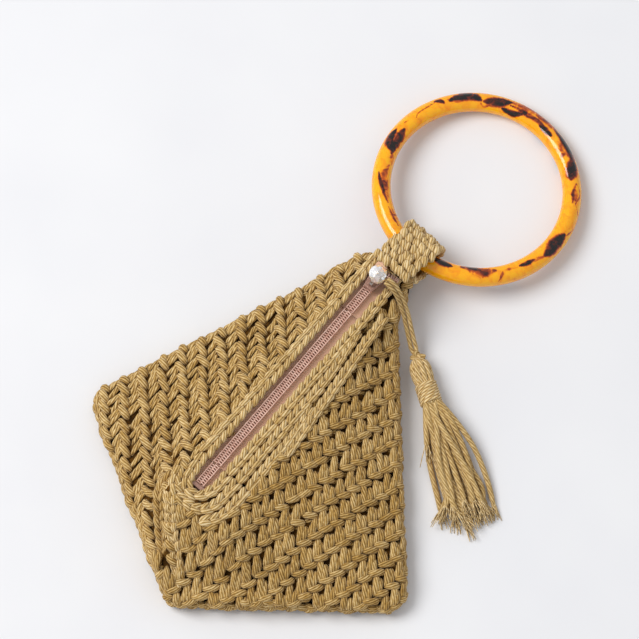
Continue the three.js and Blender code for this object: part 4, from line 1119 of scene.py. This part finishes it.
def zip_tape(side, sign, place, body):
    node = f"zip_tape_{side}_{place}"
    (u0, v0, w0), (u1, v1, w1) = zip_span(node, place)
    v = np.sort(np.linspace(0.1, max(abs(v0), abs(v1)), 9) * sign)
    u = np.linspace(u0, u1, max(6, int((u1 - u0) / 2)))
    grid = np.stack(np.meshgrid(u, v, [w1], indexing="ij"), axis=-1)[:, :, 0]
    grid[..., 2] += TAPE_RIPPLE * np.sin(grid[..., 0] / TAPE_RIPPLE_RUN) * (abs(grid[..., 1]) > TAPE_FLAT)
    parts = [sheet(on_zip(grid), ZIP_AXES[2], w1 - w0, TAPE)]
    if node == "zip_tape_left_upper":
        parts.append(curled_end())
    make_piece(f"tape_{side}_{place}", body, parts, [node])


def zip_coil(side, sign, place, body):
    """A coil whose loops reach in between those of the other side, and the seam that holds it."""
    node = f"zip_coil_{side}_{place}"
    (u0, _, w0), (u1, _, w1) = zip_span(node, place)
    bent = node == "zip_coil_right_upper"
    u1 += STUB_LENGTH * bent
    turns = round((u1 - u0 - COIL_THREAD) / COIL_PITCH)
    t = np.linspace(0, 1, turns * COIL_STEPS + 1)
    angle = 2 * np.pi * turns * t + (np.pi if sign < 0 else 0)
    u = u0 + COIL_THREAD / 2 + (u1 - u0 - COIL_THREAD) * t
    loops = np.stack([
        u,
        sign * (COIL_MIDDLE + COIL_REACH * np.cos(angle)),
        (w0 + w1) / 2 + ((w1 - w0) / 2 - COIL_THREAD / 2) * np.sin(angle)], axis=1)
    seam = np.array([(spot, SEAM_OFFSET * sign, w1 - 0.02) for spot in u[::COIL_STEPS // 2]])
    loops, seam = [on_zip(stub(line) if bent else line)[None] for line in (loops, seam)]
    parts = [
        yarn(loops, ZIP_AXES[0], COIL_THREAD / 2, COIL, sides=6),
        yarn(seam, ZIP_AXES[2], SEAM_THREAD / 2, COIL, sides=6)]
    make_piece(f"coil_{side}_{place}", body, parts, [node])


def zip_halves():
    for side, sign in (("left", 1), ("right", -1)):
        for place in ("lower", "lip", "upper"):
            body = f"{side}_lip" if place == "lip" else "pouch"
            zip_tape(side, sign, place, body)
            zip_coil(side, sign, place, body)


def dressed(node, material, edge=0.2):
    """A CAD node that keeps its shape, with its edges eased and its own material."""
    piece = frame["nodes"][node]
    piece.data.materials.clear()
    piece.data.materials.append(material)
    bevel = piece.modifiers.new("eased_edges", "BEVEL")
    bevel.width = edge * MM
    bevel.segments = 3
    bevel.limit_method = "ANGLE"


def zip_metal():
    for node in ("slider_body", "zip_top_stop_left", "zip_top_stop_right", "zip_bottom_stop"):
        dressed(node, LACQUER)
    dressed("slider_bail", ZINC)


# Tab and ring
def tab_frame():
    """The middle of the tab's bend round the ring, the way across the tab, and along it towards the ring."""
    points = node_points("tab_loop")
    across = joint_axis("handle_swing")
    along = np.array([-across[1], across[0], 0.0])
    middle = ((points @ across).min() + (points @ across).max()) / 2
    bend = (points @ along).max() - TAB_OUTER
    return across * middle + along * bend + (0, 0, points[:, 2].min() + TAB_OUTER), across, along


def tab_rows(profile):
    """Columns of stitches over the tab, along a profile of (along the tab, height) in the tab's frame."""
    origin, across, along = tab_frame()
    line = origin + np.outer(profile[:, 0], along) + np.outer(profile[:, 1], UP)
    ups = unit(np.cross(across, np.gradient(line, axis=0)))
    look = {"pitch": TAB_PITCH, "width": 0.95, "stitch": TAB_STITCH, "loose": 0.4, "tone": 0.7}
    parts = []
    for offset in (np.arange(TAB_COLUMNS) - (TAB_COLUMNS - 1) / 2) * TAB_WIDTH / TAB_COLUMNS:
        parts += chain_row(line, ups, offset=offset, **look)
    return line, ups, parts


def on_tab(name):
    """Points of a node as (along the tab, height) in the tab's frame."""
    origin, _, along = tab_frame()
    points = node_points(name) - origin
    return np.stack([points @ along, points[:, 2]], axis=1)


def tab():
    """The tab's loop: from the end of the pouch over the ring, round it and back under it."""
    loop = on_tab("tab_loop")
    neck = loop[:, 0].min()
    neck_top = loop[loop[:, 0] < neck + 0.5][:, 1].max()
    arc = np.radians(np.arange(90, -200, -15))
    bend = np.stack([TAB_OUTER * np.cos(arc), TAB_OUTER * np.sin(arc)], axis=1)
    profile = rounded(np.vstack([[(neck, neck_top), (neck * 0.5, (neck_top + TAB_OUTER) / 2)], bend]), 120)
    parts = [shrunken("tab_loop", inset=1.2, material=TAB_GROUND), *tab_rows(profile)[2]]
    make_piece("tab_crochet", "tab", parts, ["tab_loop"])


def tab_end():
    """The tab's end on the pouch: the upper half of its strap, which leaves the ends of the zip in sight."""
    strap = on_tab("tab_strap")
    far = strap[:, 0] > strap[:, 0].mean()
    ends = np.array([(part[:, 0].mean(), part[:, 1].max() - 0.3) for part in (strap[~far], strap[far])])
    line, ups, rows = tab_rows(np.linspace(ends.mean(axis=0), ends[1], 20))
    half = TAB_END_SHARE / 2
    grid = line[:, None] + np.outer(np.linspace(-half, half, 5) * TAB_WIDTH, tab_frame()[1])
    ground = sheet(grid - ups[:, None] * TAB_END_INSET, ups[:, None], TAB_END_THICKNESS, GROUND)
    make_piece("tab_end_crochet", "pouch", [ground, *rows], ["tab_strap"])


def pouch_neck():
    """Rows of chain stitches across the end of the pouch, seen when the handle is lifted."""
    across, along = tab_frame()[1:]
    anchor = node_points("tab_anchor")
    span, wall = anchor @ across, (anchor @ along).max() - NECK_INSET
    places = np.linspace(span.min() + 0.6, span.max() + 1.4, 20)
    parts = [shrunken("tab_anchor", inset=1.6, material=TAB_GROUND)]
    for level in NECK_LEVELS:
        line = np.outer(places, across) + along * wall + (0, 0, level)
        parts += chain_row(line, along, material=YARN)
    make_piece("neck_crochet", "pouch", parts, ["tab_anchor"])


# Dark streaks of the resin: points on them (round the ring, round its tube), half their width, how dark
RING_STREAKS = [
    ([(162, 97), (159, 82), (152, 77), (147, 71)], 0.3, 0.65),
    ([(147, 60), (144, 68), (142, 92)], 0.9, 0.80),
    ([(170, 71), (166, 82)], 0.3, 0.50),
    ([(138, 88), (131, 72), (124, 74), (119, 100)], 1.8, 1.00),
    ([(140, 72), (134, 100), (128, 97)], 0.6, 0.55),
    ([(117, 106), (109, 97), (101, 70)], 1.8, 1.00),
    ([(119, 119), (117, 138), (113, 123)], 0.5, 0.50),
    ([(105, 128), (98, 134), (92, 116)], 1.2, 1.00),
    ([(101, 70), (89, 51), (78, 39), (68, 55)], 2.0, 0.55),
    ([(102, 91), (91, 98), (82, 94), (72, 101)], 0.9, 0.80),
    ([(79, 107), (69, 101)], 1.0, 1.00),
    ([(71, 50), (61, 52), (54, 47), (46, 66)], 1.7, 1.00),
    ([(50, 64), (38, 97)], 2.2, 1.00),
    ([(64, 93), (58, 85), (54, 112)], 1.3, 0.50),
    ([(35, 68), (29, 90), (22, 88)], 0.6, 0.75),
    ([(35, 65), (29, 40), (22, 69)], 0.4, 0.60),
    ([(31, 75), (24, 70)], 1.0, 0.42),
    ([(21, 61), (15, 18)], 0.3, 0.50),
    ([(8, 18), (1, 54)], 0.4, 0.60),
    ([(1, 64), (-7, 74), (-16, 68)], 2.3, 1.00),
    ([(-16, 63), (-23, 83), (-30, 91)], 0.8, 0.50),
    ([(-23, 85), (-33, 92)], 0.8, 0.95),
    ([(-34, 89), (-42, 91), (-47, 36)], 0.6, 0.45),
    ([(-69, 128), (-62, 125), (-55, 102), (-48, 105)], 2.0, 0.68),
    ([(-66, 136), (-57, 116)], 1.1, 1.00),
    ([(-88, 121), (-75, 109)], 1.4, 1.00),
    ([(176, 61), (184, 65), (190, 117)], 1.6, 1.00),
    ([(173, 101), (180, 110), (191, 113)], 1.6, 1.00),
    ([(191, 123), (198, 140)], 1.0, 0.45),
    ([(199, 125), (206, 105), (216, 113), (225, 112)], 1.3, 0.52),
    ([(205, 66), (214, 88), (225, 110)], 0.7, 0.90),
    ([(-132, 107), (-118, 114)], 0.5, 0.70),
    ([(-131, 125), (-122, 136)], 0.7, 0.42),
]


def darkness(phi, theta, ring_radius, tube_radius):
    """How dark the resin is at angles round the ring and round its tube. The underside repeats the top."""
    under = [([(p + UNDERSIDE_TURN, -t) for p, t in spots], *look) for spots, *look in RING_STREAKS]
    dark = np.zeros(len(phi))
    for spots, half_width, depth in RING_STREAKS + under:
        streak = rounded(spots, 24)
        lens = half_width * (0.3 + 0.7 * np.sin(np.linspace(0, np.pi, 24)))
        along = ((phi[:, None] - streak[:, 0] + 180) % 360 - 180) * np.radians(ring_radius)
        across = ((theta[:, None] - streak[:, 1] + 180) % 360 - 180) * np.radians(tube_radius)
        far = (np.hypot(along, across) / lens).min(axis=1)
        dark = np.maximum(dark, depth * np.clip((1.75 - far) / 0.95, 0, 1))
    return dark


def ring():
    axis, centre = joint_axis("ring_spin"), joint_place("ring_spin")
    ahead = unit(np.array([0.0, 1.0, 0.0]) - axis * axis[1])
    right = np.cross(ahead, axis)
    spokes = node_points("ring_handle") - centre
    tube = abs(spokes @ axis).max()
    reach = np.linalg.norm(spokes, axis=1).max() - tube
    turns = np.arange(RING_STEPS) * 360 / RING_STEPS, np.arange(TUBE_STEPS) * 360 / TUBE_STEPS
    phi, theta = [angles.ravel() for angles in np.meshgrid(*turns, indexing="ij")]
    p, t = np.radians(phi), np.radians(theta)
    out = np.outer(np.cos(p), right) + np.outer(np.sin(p), ahead)
    points = centre + out * (reach + tube * np.cos(t))[:, None] + np.outer(tube * np.sin(t), axis)
    index = np.arange(len(points)).reshape(RING_STEPS, TUBE_STEPS)
    corners = [index, np.roll(index, -1, 0), np.roll(index, (-1, -1), (0, 1)), np.roll(index, -1, 1)]
    part = {
        "points": points,
        "faces": [np.stack(corners, axis=-1).reshape(-1, 4)],
        "uvs": np.zeros((0, 2)),
        "tones": darkness(phi, theta, reach, tube),
        "material": RESIN,
    }
    make_piece("resin_ring", "ring", [part], ["ring_handle"])


# Pull: bead, thread and tassel
def bead():
    """A cut bead: rows of facets between two flat ends, with a thread through it."""
    centre = middle_of("pull_bead")
    radius = np.linalg.norm(node_points("pull_bead") - centre, axis=1).max()
    cord_start = np.array(CORD_ROUTE[0])
    axis = unit(cord_start - centre)
    side = unit(np.cross(axis, UP))
    up = np.cross(side, axis)
    corners = []
    for row, (level, reach) in enumerate(BEAD_ROWS):
        angle = 2 * np.pi * (np.arange(FACETS) + 0.5 * (row % 2)) / FACETS
        spokes = np.outer(np.cos(angle), side) + np.outer(np.sin(angle), up)
        corners.append(centre + radius * (level * axis + reach * spokes))
    faces = []
    for row in range(len(BEAD_ROWS) - 1):
        this, above = row * FACETS, (row + 1) * FACETS
        for k in range(FACETS):
            a, b = this + k, this + (k + 1) % FACETS
            c, d = above + (k + row % 2) % FACETS, above + (k + row % 2 - 1) % FACETS
            faces += [(a, b, c), (a, c, d)]
    last = (len(BEAD_ROWS) - 1) * FACETS
    part = {
        "points": np.vstack(corners),
        "faces": [np.array(faces), np.array([np.arange(FACETS)[::-1], last + np.arange(FACETS)])],
        "uvs": np.zeros((0, 2)),
        "tones": np.zeros(FACETS * len(BEAD_ROWS)),
        "material": ACRYLIC,
    }
    make_piece("cut_bead", "pull", [part], ["pull_bead"], smooth=False)
    route = [centre - axis * radius * 0.3, centre, centre + axis * radius * 0.9, cord_start + axis * 0.5]
    thread = yarn(rounded(route, 12)[None], up, BEAD_THREAD / 2, EDGE_YARN)
    make_piece("bead_thread", "pull", [thread])


def thread_loop():
    """The thread that ties the bead to the slider's bail."""
    angle = np.linspace(0, 2 * np.pi, 25)
    around = np.outer(np.cos(angle), ZIP_AXES[1]) + np.outer(np.sin(angle), ZIP_AXES[2])
    loop = middle_of("pull_loop") + LOOP_RADIUS * around
    part = yarn(loop[None], ZIP_AXES[0], LOOP_THREAD / 2, EDGE_YARN)
    make_piece("thread_loop", "slider", [part], ["pull_loop"])


def tassel_place(points):
    """From (along the tassel from its knot, to the left, above the table) to the scene."""
    knot = joint_place("tassel_swing")
    ahead = unit((node_points("tassel_skirt").mean(axis=0) - knot) * (1, 1, 0))
    left = np.array([-ahead[1], ahead[0], 0])
    return knot * (1, 1, 0) + np.asarray(points, float) @ np.array([ahead, left, UP])


def tassel_knot():
    """A knot of one tight round of cord, with a short tail."""
    t = np.linspace(0, 2 * np.pi, 61)
    trefoil = np.stack([np.sin(t) + 2 * np.sin(2 * t), np.cos(t) - 2 * np.cos(2 * t), -np.sin(3 * t)], axis=1)
    round_turn = tassel_place(trefoil * (0.62, 0.62, 1.1) + (0.2, 0, TASSEL_HEIGHT))
    tail = tassel_place(rounded([(0, 0, 7), (0.6, 2.0, 7.6), (1.6, 3.6, 7.4)], 8))
    parts = [yarn(line[None], UP, KNOT_THREAD / 2, TASSEL_YARN) for line in (round_turn, tail)]
    return make_piece("tassel_tie", "tassel", parts, ["tassel_knot"])


def tassel_head():
    """Strands of yarn doubled over the knot, side by side round the head."""
    along, radius = rounded(HEAD_PROFILE, 24).T
    angles = 2 * np.pi * (np.arange(HEAD_STRANDS) + 0.3) / HEAD_STRANDS
    strands = np.array([tassel_place(np.stack([
        along, radius * np.cos(angle), TASSEL_HEIGHT + radius * np.sin(angle)], axis=1)) for angle in angles])
    reach = np.linspace(HEAD_PROFILE[0][0], HEAD_PROFILE[-1][0], 24)
    middle = tassel_place(np.stack([reach, 0 * reach, 0 * reach + TASSEL_HEIGHT], axis=1))
    # tone 0.5 paints the head's loops lighter still, as painted light on its top
    loops = yarn(strands, strands - middle + 1e-6, TASSEL_STRAND / 2, EDGE_YARN, tone=0.5)
    parts = [loops, shrunken("tassel_head", inset=1.5, material=GROUND)]
    return make_piece("tassel_loops", "tassel", parts, ["tassel_head"])


def tassel_wrap():
    """The binding: close turns of yarn whose ends tuck in."""
    t = np.linspace(-WRAP_TUCK, WRAP_TURNS + WRAP_TUCK, 36 * WRAP_TURNS)
    ends = [-WRAP_TUCK, 0, WRAP_TURNS, WRAP_TURNS + WRAP_TUCK]
    tucked = WRAP_RADIUS - WRAP_TUCK_DEPTH
    radius = np.interp(t, ends, [tucked, WRAP_RADIUS, WRAP_RADIUS, tucked])
    angle = 2 * np.pi * t
    along = WRAP_START + WRAP_PITCH * t
    line = tassel_place(np.stack([
        along, radius * np.cos(angle), TASSEL_HEIGHT + radius * np.sin(angle)], axis=1))
    middle = tassel_place(np.stack([along, 0 * t, 0 * t + TASSEL_HEIGHT], axis=1))
    # tone 1.0 paints the binding lighter still, as painted light on its top
    part = yarn(line[None], line - middle, WRAP_THREAD / 2, EDGE_YARN, tone=1.0)
    return make_piece("tassel_binding", "tassel", [part], ["tassel_wrap"])


# Cut strands of the tassel's skirt that stray: points (along the tassel, to the left, above the table)
STRAY_STRANDS = [
    [(21.5, 2.6, 8.4), (31, 6.8, 7.6), (44, 11.2, 5.2), (58, 12.8, 2.6), (71, 12.2, 1.4)],
    [(21.5, -1.2, 8.8), (32, 0.4, 9.2), (46, 3.6, 8.2), (60, 6.4, 6.2), (71, 7.4, 4.4)],
    [(21.5, 1.6, 8.8), (33, -1.2, 9.0), (47, -4.6, 7.6), (59, -5.2, 6.0), (70, -3.8, 4.8)],
    [(21.5, -2.6, 8.2), (27, -4.2, 8.2), (32, -5.6, 7.6), (36, -6.6, 6.8), (39, -7.4, 6.0)],
]


def skirt_lines():
    """Lines of the strands, which leave the binding in a bundle and spread over the table in layers."""
    lines = [rounded(points, SKIRT_STEPS) for points in STRAY_STRANDS]
    for layer, (count, spread, height, reach) in enumerate(SKIRT_LAYERS):
        for k in range(count):
            share = 2 * (k + 0.5) / count - 1
            bow = rng.normal(0, 1.5) + 1.2 * share
            end = reach - 2.5 * abs(share) ** 2 + rng.normal(0, 1.8)
            lift = rng.normal(0, 0.35, 3)
            lines.append(rounded([
                (SKIRT_START, 2.9 * share, TASSEL_HEIGHT + (layer - 1) * 2.2),
                (31, 4.8 * share + bow * 0.5, TASSEL_HEIGHT - 0.8 + (layer - 1) * 2.3 + lift[0]),
                (46, spread * 0.7 * share + bow, 2.0 + height * 0.75 + lift[1]),
                (61, spread * 0.9 * share + bow * 0.4 + rng.normal(0, 1.0), height + 0.2 + lift[2]),
                (end - 7, share * spread + rng.normal(0, 1.2), height)], SKIRT_STEPS))
    lines = np.array(lines)
    lines[..., 2] = np.maximum(lines[..., 2], TASSEL_STRAND / 2 + 0.05)
    return lines


def frayed(line):
    """Loose threads at the cut end of a strand."""
    cut = line[-1]
    run = unit(cut - line[-4])
    threads = []
    for spin in 2 * np.pi * np.arange(FRAYED_THREADS) / FRAYED_THREADS:
        fan = np.array([0.0, np.cos(spin), np.sin(spin) * 0.6])
        tip = cut + run * rng.uniform(*FRAYED_LENGTH) + fan * rng.uniform(*FRAYED_SPREAD)
        tip = tip + (0, rng.normal(0, 0.6), 0)
        thread = rounded([cut - run * 2 + fan * 0.5, cut + fan * 0.8, (cut + tip) / 2 + fan * 0.5, tip], 8)
        thread[:, 2] = np.maximum(thread[:, 2], 0.35)
        threads.append(thread)
    return threads


def tassel_skirt():
    """Cut strands below the binding, with frayed ends."""
    lines = skirt_lines()
    strands = tassel_place(lines)
    threads = tassel_place(np.vstack([frayed(line) for line in lines]))
    cut_end = [1.1, 0.95, 0.7]
    radii = np.concatenate([np.full(SKIRT_STEPS - len(cut_end), TASSEL_STRAND / 2), cut_end])
    parts = [
        yarn(strands, UP, radii, TASSEL_YARN),
        yarn(threads, UP, np.linspace(0.34, 0.16, 8), EDGE_YARN, sides=5, tone=1.5)]
    make_piece("tassel_strands", "tassel", parts, ["tassel_skirt"])


set_camera()
set_stage()
set_softbox()
cords = cord_strands()
crochet_panels()
back_crochet()
edging()
zip_halves()
zip_metal()
tab()
tab_end()
pouch_neck()
ring()
bead()
thread_loop()
on_cord = [tassel_knot(), tassel_head(), tassel_wrap()]
tassel_skirt()
